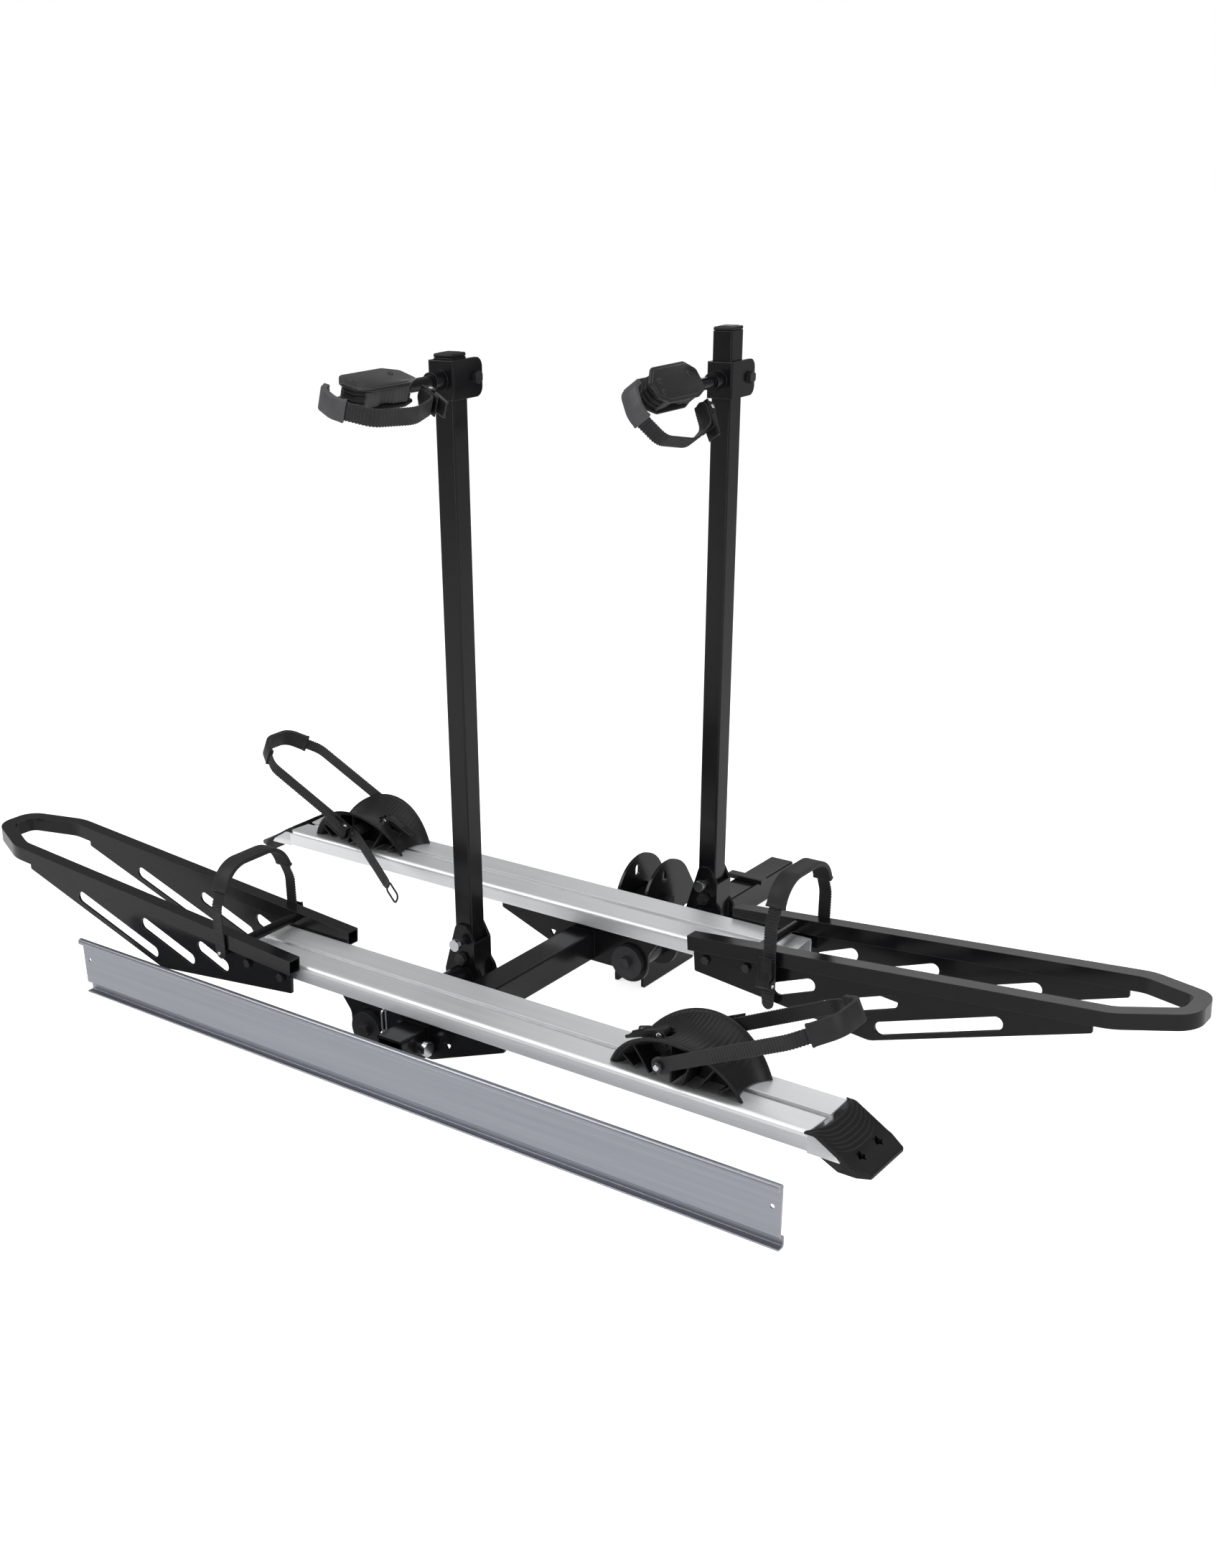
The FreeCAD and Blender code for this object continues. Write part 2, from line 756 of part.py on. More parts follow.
def build_buckle(word, spot):
    """Channel that the ladder strap runs under, with the ratchet lever's hinge pin across its cheeks."""
    floor = block(word + "_floor", (46, 28, 3), (-12, -14, -9.75), spot)
    cheeks = [block(word + "_cheek", (16, 2, 15), (-8, y, -9.75), spot) for y in (-14, 12)]
    pin = rod(word + "_hinge_pin", 4, 28, (0, -14, 0), ALONG_Y, spot)
    return fused(word + "_base", [floor, pin] + cheeks)


def build_lever(word, spot):
    """Ratchet lever: a round pivot end and a tapered finger tab."""
    side_view = outline([(-6, -4, 4), (-6, 5, 4), (10, 6, 5), (46, 3, 1.5), (46, 0, 1), (10, -3, 4),
                         (2, -4, 2)])
    pivot = circle(0, 0, 4 + 2 * val("running_gap"))
    return padded(word + "_lever", "XZ_Plane", [side_view, pivot], 22, spot)


def build_pad(word, role, path, place, region, strap, strap_width):
    """Rubber sleeve round one stretch of a strap. The region is a box in the strap's own frame."""
    corner, size = region
    thick = val("strap_thickness") + val("pad_thickness") - 2
    sleeve = padded(word + "_sleeve", role, [band(path, thick)],
                    f"{strap_width} + dims.pad_width - dims.strap_width",
                    place)
    window = block(word + "_window", size, corner, place)
    return without(word + "_pad_part", shared(word + "_sleeve_part", sleeve, window), [strap])


def build_hoop_strap(word, tray):
    """Ladder strap over the wheel between the rails, with a pad on its crown and a buckle on one leg."""
    leg = 87
    place = hoop_place(tray).multiply(at(156, 0, 0, ALONG_Y, val("hoop_rise")))
    path = [(leg, -45), (leg, 45, 40), (58, 112, 50), (-58, 112, 50), (-leg, 45, 40), (-leg, -100)]
    ladder = padded(word + "_ladder", "YZ_Plane", [band(path, val("strap_thickness"))],
                    "dims.strap_width", place)
    anchor = rod(word + "_anchor", 14, leg - 74.5, (0, 74.5, -34), ALONG_Y, place)
    strap = fused(word + "_strap_anchor", [ladder, anchor])
    spot = place.multiply(frame_of((0, -leg - 12, -52), UP, (0, -1, 0)))
    buckle = build_buckle(word + "_hoop_buckle", spot)
    node(word + "_hoop_strap", group(word + "_hoop_strap_set", [strap, buckle]))
    region = ((-30, -66, 70), (60, 132, 80))
    node(word + "_hoop_pad",
         build_pad(word + "_hoop", "YZ_Plane", path, place, region, strap, "dims.strap_width"))
    node(word + "_hoop_buckle", build_lever(word + "_hoop", spot))


def build_cup_strap(word, pivot):
    """Strap that loops over the wheel from side to side of the cup; its free end flares outward."""
    leg = 66
    spot = pivot.multiply(at(0, 0, 0, ALONG_Y, -val("strap_angle")))
    loop = [(-10, -leg), (216, -leg, 45), (277, -32, 30), (277, 30, 30), (216, leg, 50), (-16, leg, 120),
            (-146, leg + 50)]
    ladder = padded(word + "_cup_ladder", "XY_Plane", [band(loop, val("strap_thickness"))],
                    "dims.strap_width", spot)
    bore = hole(word + "_strap_eye", "hoop_bolt", (0, -leg - 10, 0), ALONG_Y, 2 * leg + 20, spot)
    strap = without(word + "_strap", ladder, [bore])
    lever_spot = spot.multiply(frame_of((10, leg + 12, 0), ALONG_X, ALONG_Y))
    buckle = build_buckle(word + "_cup_buckle", lever_spot)
    node(word + "_cup_strap", group(word + "_cup_strap_set", [strap, buckle]))
    region = ((240, -80, -30), (80, 160, 60))
    node(word + "_cup_pad",
         build_pad(word + "_cup", "XY_Plane", loop, spot, region, strap, "dims.strap_width"))
    node(word + "_cup_buckle", build_lever(word + "_cup", lever_spot))


# ---------------------------------------------------------------- wheel cups


def saddle_sheet(word, spot):
    """Curved sheet of the cup: a pulley-shaped arch, trimmed to a barrel-shaped plan above the tray."""
    half = val("cup_width") / 2
    length = val("cup_length") / 2
    narrow = half - 22
    lip = 42
    rim = val("cup_rim_radius")
    groove = val("cup_groove_radius")
    sheet = val("cup_sheet")
    body = doc.addObject("PartDesign::Body", word + "_saddle")
    band_edges = [
        Part.LineSegment(Vector(-half, rim, 0), Vector(-lip, rim, 0)),
        Part.Arc(Vector(-lip, rim, 0), Vector(0, groove, 0), Vector(lip, rim, 0)),
        Part.LineSegment(Vector(lip, rim, 0), Vector(half, rim, 0)),
        Part.LineSegment(Vector(half, rim, 0), Vector(half, rim - sheet, 0)),
        Part.LineSegment(Vector(half, rim - sheet, 0), Vector(lip, rim - sheet, 0)),
        Part.Arc(Vector(lip, rim - sheet, 0), Vector(0, groove - sheet, 0), Vector(-lip, rim - sheet, 0)),
        Part.LineSegment(Vector(-lip, rim - sheet, 0), Vector(-half, rim - sheet, 0)),
        Part.LineSegment(Vector(-half, rim - sheet, 0), Vector(-half, rim, 0)),
    ]
    sketch = sketch_on(body, "YZ_Plane", [band_edges])
    turned = body.newObject("PartDesign::Revolution", word + "_saddle_turn")
    turned.Profile = sketch
    turned.ReferenceAxis = (sketch, ["H_Axis"])
    turned.Angle = 360
    body.Placement = spot.multiply(at(0, 0, -val("cup_axis_drop")))
    plan = [
        Part.Arc(Vector(-length, -narrow, 0), Vector(0, -half, 0), Vector(length, -narrow, 0)),
        Part.LineSegment(Vector(length, -narrow, 0), Vector(length, narrow, 0)),
        Part.Arc(Vector(length, narrow, 0), Vector(0, half, 0), Vector(-length, narrow, 0)),
        Part.LineSegment(Vector(-length, narrow, 0), Vector(-length, -narrow, 0)),
    ]
    tall = 80
    envelope = padded(word + "_barrel", "XY_Plane", [plan], tall, spot.multiply(at(0, 0, tall / 2 + 0.5)))
    return shared(word + "_sheet", body, envelope)


def build_cup(word, place):
    """Saddle for a wheel that slides along the tray's slot, stiffened by webs, and its latch."""
    top = val("tray_floor_z") + val("tray_depth")
    spot = place.multiply(at(val(word + "_cup_x"), 0, top))
    half = val("cup_width") / 2
    lip_under = -2.5 - val("tray_wall")
    slot_half = val("slot_width") / 2 - 0.3
    channel_half = val("channel_width") / 2 - 0.5
    pin_x = val("cup_pivot_x")
    pin_z = val("cup_pivot_z")
    latch_x = -45
    latch_z = 47
    sheet = saddle_sheet(word, spot)

    # webs and keel, trimmed under the sheet
    stiffeners = [block(word + "_keel", (168, 2 * slot_half, 70), (-84, -slot_half, -7), spot)]
    for x in (-68, -34, 34, 68):
        stiffeners.append(block(word + "_web", (3, 84, 60), (x - 1.5, -42, 0.5), spot))
    stiffeners.append(rod(word + "_boss", 20, val("cup_width") - 2, (pin_x, 1 - half, pin_z), ALONG_Y,
                          spot))
    under = rod(word + "_under", "2 * (dims.cup_groove_radius - 2)", 2 * half,
                (0, -half, -val("cup_axis_drop")),
                ALONG_Y, spot)
    frame = shared(word + "_stiffening", fused(word + "_stiffeners", stiffeners), under)
    foot = block(word + "_cup_foot", (50, 2 * channel_half, 4), (-25, -channel_half, lip_under - 5.5), spot)

    # the latch sits in an opening of the sheet
    opening = block(word + "_latch_opening", (47, 21, 50), (latch_x - 30, -10.5, latch_z - 13), spot)
    bolt_start = -half - 12
    length = val("cup_width") + 20.2
    drill = hole(word + "_cup_drill", "hoop_bolt", (pin_x, bolt_start, pin_z), ALONG_Y, length, spot)
    shell = without(word + "_cup_shell", fused(word + "_cup_blank", [sheet, frame, foot]), [opening, drill])
    lugs = [block(word + "_latch_lug", (24, 3, 24), (latch_x - 11, y, latch_z - 18),
                  spot) for y in (-13.5, 10.5)]
    latch_pin = rod(word + "_latch_pin", 6, 27, (latch_x, -13.5, latch_z), ALONG_Y, spot)
    node(word + "_wheel_cup", fused(word + "_cup_part", [shell, latch_pin] + lugs))

    pivot = rod(word + "_strap_bolt", "dims.hoop_bolt", length, (pin_x, bolt_start, pin_z), ALONG_Y, spot)
    head = rod(word + "_strap_bolt_head", "2 * dims.hoop_bolt", 5, (pin_x, bolt_start - 5, pin_z),
               ALONG_Y, spot)
    node(word + "_cup_bolt", fused(word + "_strap_pivot", [pivot, head]))

    lever_view = [outline([(-6, -6, 6), (-6, 6, 6), (20, 8, 6), (62, 4, 2), (62, 0, 1), (20, -1, 4),
                           (6, -6, 5)]),
                  circle(0, 0, 6 + 2 * val("running_gap"))]
    lever_spot = spot.multiply(at(latch_x, 0, latch_z, UP, 180)).multiply(at(0, 0, 0, ALONG_Y, 21))
    node(word + "_cup_latch", padded(word + "_latch", "XZ_Plane", lever_view, 20, lever_spot))
    build_cup_strap(word, spot.multiply(at(pin_x, 0, pin_z)))


# ---------------------------------------------------------------- masts


def mast_spots():
    """Name, centre and collar height of each mast."""
    back = val("mast_setback")
    return (("left", -val("mast_x"), val("near_tray_y") + back, val("left_collar_z"), val("left_roll")),
            ("right", val("mast_x"), val("far_tray_y") + back, val("right_collar_z"), val("right_roll")))


def foot_outline():
    """Front view of a mast foot: a leaning gusset above a round lobe."""
    gusset = [(25.5, 114, 8), (25.5, 150, 12), (10, 178, 9), (-12, 178, 10), (-38, 92, 10)]
    return outline(gusset + arc_vertices(0, val("lobe_z"), val("lobe_radius"), 180, 390))


def build_foot(word, place):
    """Two flanges, the web that stops the upright mast, and the spacer that ties the flanges together."""
    inner = val("flange_half_gap")
    gap = 2 * val("running_gap")
    profile = [
        foot_outline(),
        circle(0, val("mast_pivot_z"), val("pivot_bolt") + gap),
        circle(0, val("mast_lock_z"), val("mast_lock_pin") + gap),
    ]
    flanges = []
    for side in (-1, 1):
        shift = at(0, side * (inner + val("flange_plate") / 2), 0)
        flanges.append(padded(word + "_flange", "XZ_Plane", profile, "dims.flange_plate",
                              place.multiply(shift)))
    web = block(word + "_web", (4, 2 * inner + 2, 72), (21.5, -inner - 1, 78), place)
    spacer = rod(word + "_foot_spacer", 22, 2 * inner + 2, (0, -inner - 1, val("lobe_z")), ALONG_Y, place)
    return fused(word + "_foot", flanges + [web, spacer])


def build_masts():
    """Masts, their feet and all that they carry. Returns the mast pivot bolts."""
    inner = val("flange_half_gap")
    outer = inner + val("flange_plate")
    size = val("mast_size")
    bottom = val("mast_foot_z")
    top = val("mast_top_z")
    pivot_z = val("mast_pivot_z")
    lock_z = val("mast_lock_z")
    feet = []
    bolts = []
    for word, x, y, collar_z, roll in mast_spots():
        place = at(x, y, 0)
        feet.append(build_foot(word, place))
        bolts += bolt(word + "_mast_bolt", "pivot_bolt", 2 * outer + 12, (0, -outer, pivot_z),
                      ALONG_Y, place, 2 * outer)

        profile = [rectangle(size, size, 3),
                   rectangle(size - 2 * val("mast_wall"), size - 2 * val("mast_wall"), 1)]
        tube = padded(word + "_mast_blank", "XY_Plane", profile, "dims.mast_top_z - dims.mast_foot_z",
                      place.multiply(at(0, 0, (bottom + top) / 2)))
        tools = [hole(word + "_mast_drill", "pivot_bolt", (0, -size, pivot_z), ALONG_Y, 2 * size, place),
                 hole(word + "_mast_notch", "mast_lock_pin", (0, -size, lock_z), ALONG_Y, 2 * size, place)]
        if word == "right":
            # open-sided notch that takes the lock pin when the mast leans inward as far as it goes
            lean = math.radians(val("right_mast_lean"))
            reach = lock_z - pivot_z
            side = (reach * math.sin(lean), -size, pivot_z + reach * math.cos(lean))
            tools.append(hole("right_lean_notch", "mast_lock_pin", side, ALONG_Y, 2 * size, place))
        node(word + "_mast", without(word + "_mast_part", tube, tools))

        cap_top = padded(word + "_cap_top", "XY_Plane", [rectangle(size, size, 3)], 6,
                         place.multiply(at(0, 0, top + 3)))
        plug = size - 2 * val("mast_wall") - 0.4
        cap_plug = padded(word + "_cap_plug", "XY_Plane", [rectangle(plug, plug, 1)], 20,
                          place.multiply(at(0, 0, top - 9)))
        node(word + "_mast_cap", fused(word + "_cap", [cap_top, cap_plug]))

        # the spring pin is drawn back, with its tip inside the foot's front flange
        tip = -inner - 0.3
        shaft = rod(word + "_lock_shaft", "dims.mast_lock_pin", 18, (0, tip, lock_z), (0, -1, 0), place)
        knob = rod(word + "_lock_knob", "2 * dims.mast_lock_pin", 8, (0, tip - 18, lock_z),
                   (0, -1, 0), place)
        node(word + "_mast_lock_pin", fused(word + "_mast_plunger", [shaft, knob]))
        build_collar(word, x, y, collar_z)
        build_clamp(word, at(x, y, collar_z, ALONG_Y, roll))
    node("mast_feet", group("feet", feet))
    return bolts


# ---------------------------------------------------------------- collars and clamps


def build_collar(word, x, y, z):
    """Channel round the mast with a socket for the clamp's arm and a pinch bolt behind."""
    place = at(x, y, z)
    clear = val("mast_size") / 2 + val("collar_gap")
    outer = clear + val("collar_plate")
    back = 46
    bolt_y = 31
    plan = [outline([(-outer, -outer, 3), (outer, -outer, 3), (outer, back), (clear, back), (clear, -clear),
                     (-clear, -clear), (-clear, back), (-outer, back)])]
    channel = padded(word + "_channel", "XY_Plane", plan, "dims.collar_height", place)
    tall = val("collar_height") / 2
    side_view = [outline([(-outer, -tall, 1), (back, -tall, 14), (back, tall, 14), (-outer, tall, 1)])]
    envelope = padded(word + "_envelope", "YZ_Plane", side_view, 2 * outer, place)
    body = shared(word + "_collar_blank", channel, envelope)
    socket = rod(word + "_socket", "dims.clamp_arm + 9", 24, (0, -outer, 0), (0, -1, 0), place)
    bore = hole(word + "_socket_bore", "clamp_arm", (0, -outer - 0.5, 0), (0, -1, 0), 24, place)
    drill = hole(word + "_pinch_hole", "collar_bolt", (-2 * outer, bolt_y, 0), ALONG_X, 4 * outer, place)
    node(word + "_collar",
         without(word + "_collar_part", fused(word + "_collar_body", [body, socket]), [bore, drill]))

    bolts = bolt(word + "_pinch_bolt", "collar_bolt", 2 * outer + 10, (outer, bolt_y, 0), (-1, 0, 0),
                 place, 2 * outer)
    sleeve = rod(word + "_pinch_sleeve", 16, 2 * clear, (-clear, bolt_y, 0), ALONG_X, place)
    sleeve_bore = hole(word + "_sleeve_bore", "collar_bolt", (-clear, bolt_y, 0), ALONG_X, 2 * clear, place)
    bolts.append(without(word + "_pinch_spacer", sleeve, [sleeve_bore]))
    node(word + "_collar_bolt", group(word + "_pinch_set", bolts))


def build_clamp(word, place):
    """Arm, head with an open jaw, and a ladder strap that loops across the jaw. The jaw opens to local +X."""
    root = -val("mast_size") / 2 - val("collar_gap") - val("collar_plate") - 0.8
    reach = 118
    arm = rod(word + "_arm_body", "dims.clamp_arm", reach + root, (0, root, 0), (0, -1, 0), place)
    node(word + "_clamp_arm", arm)

    plate = val("clamp_plate")
    core = val("clamp_core")
    plate_view = [outline([(-20, -95, 8), (-36, -118, 12), (-36, -206, 14), (-14, -229, 10), (12, -224, 10),
                           (24, -200, 10), (24, -122, 12), (14, -95, 8)])]
    jaw = arc_vertices(40, -161, 30, 215, 145)
    core_view = [outline([(-16, -98, 8), (-30, -120, 12), (-30, -204, 14), (-12, -224, 10), (8, -219, 8),
                          (18, -204, 4)] + jaw + [(18, -118, 6), (10, -98, 6)])]
    pieces = [padded(word + "_core", "XY_Plane", core_view, "dims.clamp_core", place)]
    for side in (-1, 1):
        shift = at(0, 0, side * (core + plate) / 2)
        pieces.append(padded(word + "_jaw_plate", "XY_Plane", plate_view, "dims.clamp_plate",
                             place.multiply(shift)))
    socket = rod(word + "_head_socket", "dims.clamp_arm", reach, (0, 0, 0), (0, -1, 0), place)
    node(word + "_clamp_head", without(word + "_head", fused(word + "_head_blank", pieces), [socket]))

    path = [(28, -104), (66, -118, 22), (86, -176, 60), (70, -246, 30), (22, -274, 24),
            (-14, -262, 18), (-24, -236)]
    strap = padded(word + "_clamp_ladder", "XY_Plane", [band(path, val("clamp_strap_thickness"))],
                   "dims.clamp_strap_width", place)
    along = (38, -14, 0)
    spot = place.multiply(frame_of((43, -98, 0), along, (14, 38, 0)))
    buckle = build_buckle(word + "_clamp_buckle", spot)
    node(word + "_clamp_strap", group(word + "_clamp_strap_set", [strap, buckle]))
    region = ((-30, -290, -30), (92, 44, 60))
    node(word + "_clamp_pad", build_pad(word + "_clamp", "XY_Plane", path, place, region, strap,
                                        "dims.clamp_strap_width"))
    node(word + "_clamp_buckle", build_lever(word + "_clamp", spot))


# ---------------------------------------------------------------- loading ramp


def build_ramp():
    """Rolled aluminium plank on its edge: hemmed top, stepped foot and a small hole at each end."""
    depth = val("ramp_depth")
    sheet = val("ramp_sheet")
    bottom = val("ramp_bottom_z")
    path = [(-9, depth - 9), (-9, depth - sheet / 2, 4), (0, depth - sheet / 2, 4), (0, 18, 3), (9, 18, 3),
            (9, sheet / 2, 3), (-4, sheet / 2)]
    blank = padded("ramp_blank", "YZ_Plane", [band(path, sheet)], "dims.ramp_length",
                   at(-2, val("ramp_y"), bottom))
    end = val("ramp_length") / 2
    tools = [rod("ramp_hole", 7, 40, (x, val("ramp_y") - 20, bottom + 0.62 * depth), ALONG_Y)
             for x in (-2 - end + 14, -2 + end - 14)]
    node("loading_ramp", without("ramp", blank, tools))


# ---------------------------------------------------------------- whole rack


def check_and_export():
    """Stops on any failed feature or bad shape, then writes one STEP file per node."""
    for thing in doc.Objects:
        if "Invalid" in thing.State or "Error" in thing.State:
            raise RuntimeError(f"{thing.Name} ({thing.Label}) failed: {thing.State}")
    for thing in nodes:
        if thing.Shape.isNull() or not thing.Shape.isValid():
            raise RuntimeError(f"{thing.Label} has no valid shape")
    os.makedirs("parts", exist_ok=True)
    for thing in nodes:
        thing.Shape.exportStep(f"parts/{thing.Label}.step")
        print(thing.Label, len(thing.Shape.Solids), "solids", round(thing.Shape.Volume), "mm3")
    print(len(nodes), "nodes")


fill_sheet()
build_shank()
build_spine()
fasteners = build_brackets()
build_trays()
build_hoops()
for name, tray in (("left", near_place()), ("right", far_place())):
    build_hoop_strap(name, tray)
for name, tray in (("near", near_place()), ("far", far_place())):
    build_cup(name, tray)
fasteners += build_masts()
node("frame_bolts", group("frame_fasteners", fasteners))
build_ramp()
doc.recompute()
check_and_export()
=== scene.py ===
import math

import bpy
from mathutils import Matrix, Vector


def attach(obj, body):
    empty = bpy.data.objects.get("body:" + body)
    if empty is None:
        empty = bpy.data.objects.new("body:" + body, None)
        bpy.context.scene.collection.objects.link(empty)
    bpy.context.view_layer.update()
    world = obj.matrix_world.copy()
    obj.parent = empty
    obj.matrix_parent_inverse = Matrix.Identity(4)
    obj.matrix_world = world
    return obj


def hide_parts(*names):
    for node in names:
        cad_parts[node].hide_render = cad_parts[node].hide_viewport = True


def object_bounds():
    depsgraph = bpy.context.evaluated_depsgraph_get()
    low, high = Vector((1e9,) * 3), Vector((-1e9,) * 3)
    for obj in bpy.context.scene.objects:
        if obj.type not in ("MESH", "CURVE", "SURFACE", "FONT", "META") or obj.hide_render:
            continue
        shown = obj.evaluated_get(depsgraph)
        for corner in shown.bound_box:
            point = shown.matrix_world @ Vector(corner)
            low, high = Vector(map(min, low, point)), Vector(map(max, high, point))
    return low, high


# Hitch mounted bike rack: looks only. The scene is in metres; part sizes below are millimetres,
# written in each part's own frame and placed by that part's matrix.

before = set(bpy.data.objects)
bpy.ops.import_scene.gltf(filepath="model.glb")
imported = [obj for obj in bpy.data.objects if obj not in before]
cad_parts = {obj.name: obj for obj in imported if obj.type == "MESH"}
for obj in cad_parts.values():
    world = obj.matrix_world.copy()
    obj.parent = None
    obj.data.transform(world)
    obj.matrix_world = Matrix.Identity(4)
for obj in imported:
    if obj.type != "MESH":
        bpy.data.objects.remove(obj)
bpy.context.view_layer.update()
MM = 0.001

# ---------------------------------------------------------------- places


def shift(x, y, z):
    return Matrix.Translation((x, y, z))


def turn(axis, degrees):
    return Matrix.Rotation(math.radians(degrees), 4, axis)


def frame_of(origin, along, outward):
    """Matrix whose X runs along a strap and whose Z points out of it."""
    x = Vector(along).normalized()
    z = Vector(outward).normalized()
    y = z.cross(x)
    return Matrix(((x.x, y.x, z.x, origin[0]), (x.y, y.y, z.y, origin[1]), (x.z, y.z, z.z, origin[2]), (0, 0, 0, 1)))


STRAP_THICKNESS = 3.5
STRAP_LEAN = 25.5
HOOP_RISE = 4.5
NEAR = shift(0, -1028, 0)
FAR = shift(0, -581, 0) @ turn("Z", 180)
TRAYS = {"near": NEAR, "far": FAR}
CUP_X = {"near": 472, "far": 525}
MASTS = {"left": (-98, -815, 1038, 17), "right": (98, -368, 996, 55)}
HOOPS = {"left": NEAR, "right": FAR}


def flat(a, b, c):
    """Drawing plane XY, thickness along Z."""
    return (a, b, c)


def side(a, b, c):
    """Drawing plane XZ, thickness along Y."""
    return (a, c, b)


def front(a, b, c):
    """Drawing plane YZ, thickness along X."""
    return (c, a, b)


# ---------------------------------------------------------------- outlines


def rounded(points, closed=True, step=10):
    """Points (x, y, radius) with each corner replaced by an arc."""
    out = []
    count = len(points)
    for i, point in enumerate(points):
        here = Vector(point[:2])
        radius = point[2] if len(point) > 2 else 0
        at_end = not closed and i in (0, count - 1)
        if radius <= 0 or at_end:
            out.append(here)
            continue
        back = Vector(points[i - 1][:2]) - here
        ahead = Vector(points[(i + 1) % count][:2]) - here
        angle = back.angle(ahead)
        reach = radius / math.tan(angle / 2)
        reach = min(reach, 0.499 * back.length, 0.499 * ahead.length)
        radius = reach * math.tan(angle / 2)
        first = here + back.normalized() * reach
        last = here + ahead.normalized() * reach
        middle = here + (back.normalized() + ahead.normalized()).normalized() * (radius / math.sin(angle / 2))
        spread = math.pi - angle
        pieces = max(2, math.ceil(math.degrees(spread) / step))
        a, b = first - middle, last - middle
        start = math.atan2(a.y, a.x)
        sweep = math.atan2(a.x * b.y - a.y * b.x, a.dot(b))
        for k in range(pieces + 1):
            t = start + sweep * k / pieces
            out.append(middle + Vector((math.cos(t), math.sin(t))) * radius)
    if closed and sum(p.x * q.y - q.x * p.y for p, q in zip(out, out[1:] + out[:1])) < 0:
        out.reverse()
    return out


def inset(outline, depth):
    """The outline moved inward along its corner normals."""
    out = []
    count = len(outline)
    for i, here in enumerate(outline):
        before = here - outline[i - 1]
        after = outline[(i + 1) % count] - here
        if before.length < 1e-6:
            before = after
        if after.length < 1e-6:
            after = before
        n1 = Vector((before.y, -before.x)).normalized()
        n2 = Vector((after.y, -after.x)).normalized()
        n = n1 + n2
        if n.length < 1e-3:
            n = n1
        n.normalize()
        out.append(here - n * depth / max(0.5, n.dot(n1)))
    return out


def circle(x, y, radius, count=32):
    return [Vector((x + radius * math.cos(2 * math.pi * k / count), y + radius * math.sin(2 * math.pi * k / count)))
            for k in range(count)]


class Track:
    """Open path, rounded at its corners, that can be read by the length along it."""

    def __init__(self, points):
        self.points = rounded(points, False, 4)
        self.marks = [0.0]
        for p, q in zip(self.points, self.points[1:]):
            self.marks.append(self.marks[-1] + (q - p).length)
        self.length = self.marks[-1]

    def at(self, s):
        """Position and direction at a length along the path."""
        s = min(max(s, 0.0), self.length)
        i = 0
        while i < len(self.points) - 2 and self.marks[i + 1] < s:
            i += 1
        p, q = self.points[i], self.points[i + 1]
        span = self.marks[i + 1] - self.marks[i]
        t = (s - self.marks[i]) / span if span > 0 else 0
        d = (q - p).normalized()
        before = (p - self.points[i - 1]).normalized() if i else d
        after = (self.points[i + 2] - q).normalized() if i + 2 < len(self.points) else d
        lean = (before + d) * (0.5 - t) + d if t < 0.5 else (after + d) * (t - 0.5) + d
        return p.lerp(q, t), lean.normalized()

    def stretch(self, test):
        """First and last length at which the test holds."""
        steps = [k * 1.0 for k in range(int(self.length) + 1)]
        held = [s for s in steps if test(*self.at(s)[0])]
        return held[0], held[-1]


# ---------------------------------------------------------------- mesh builder


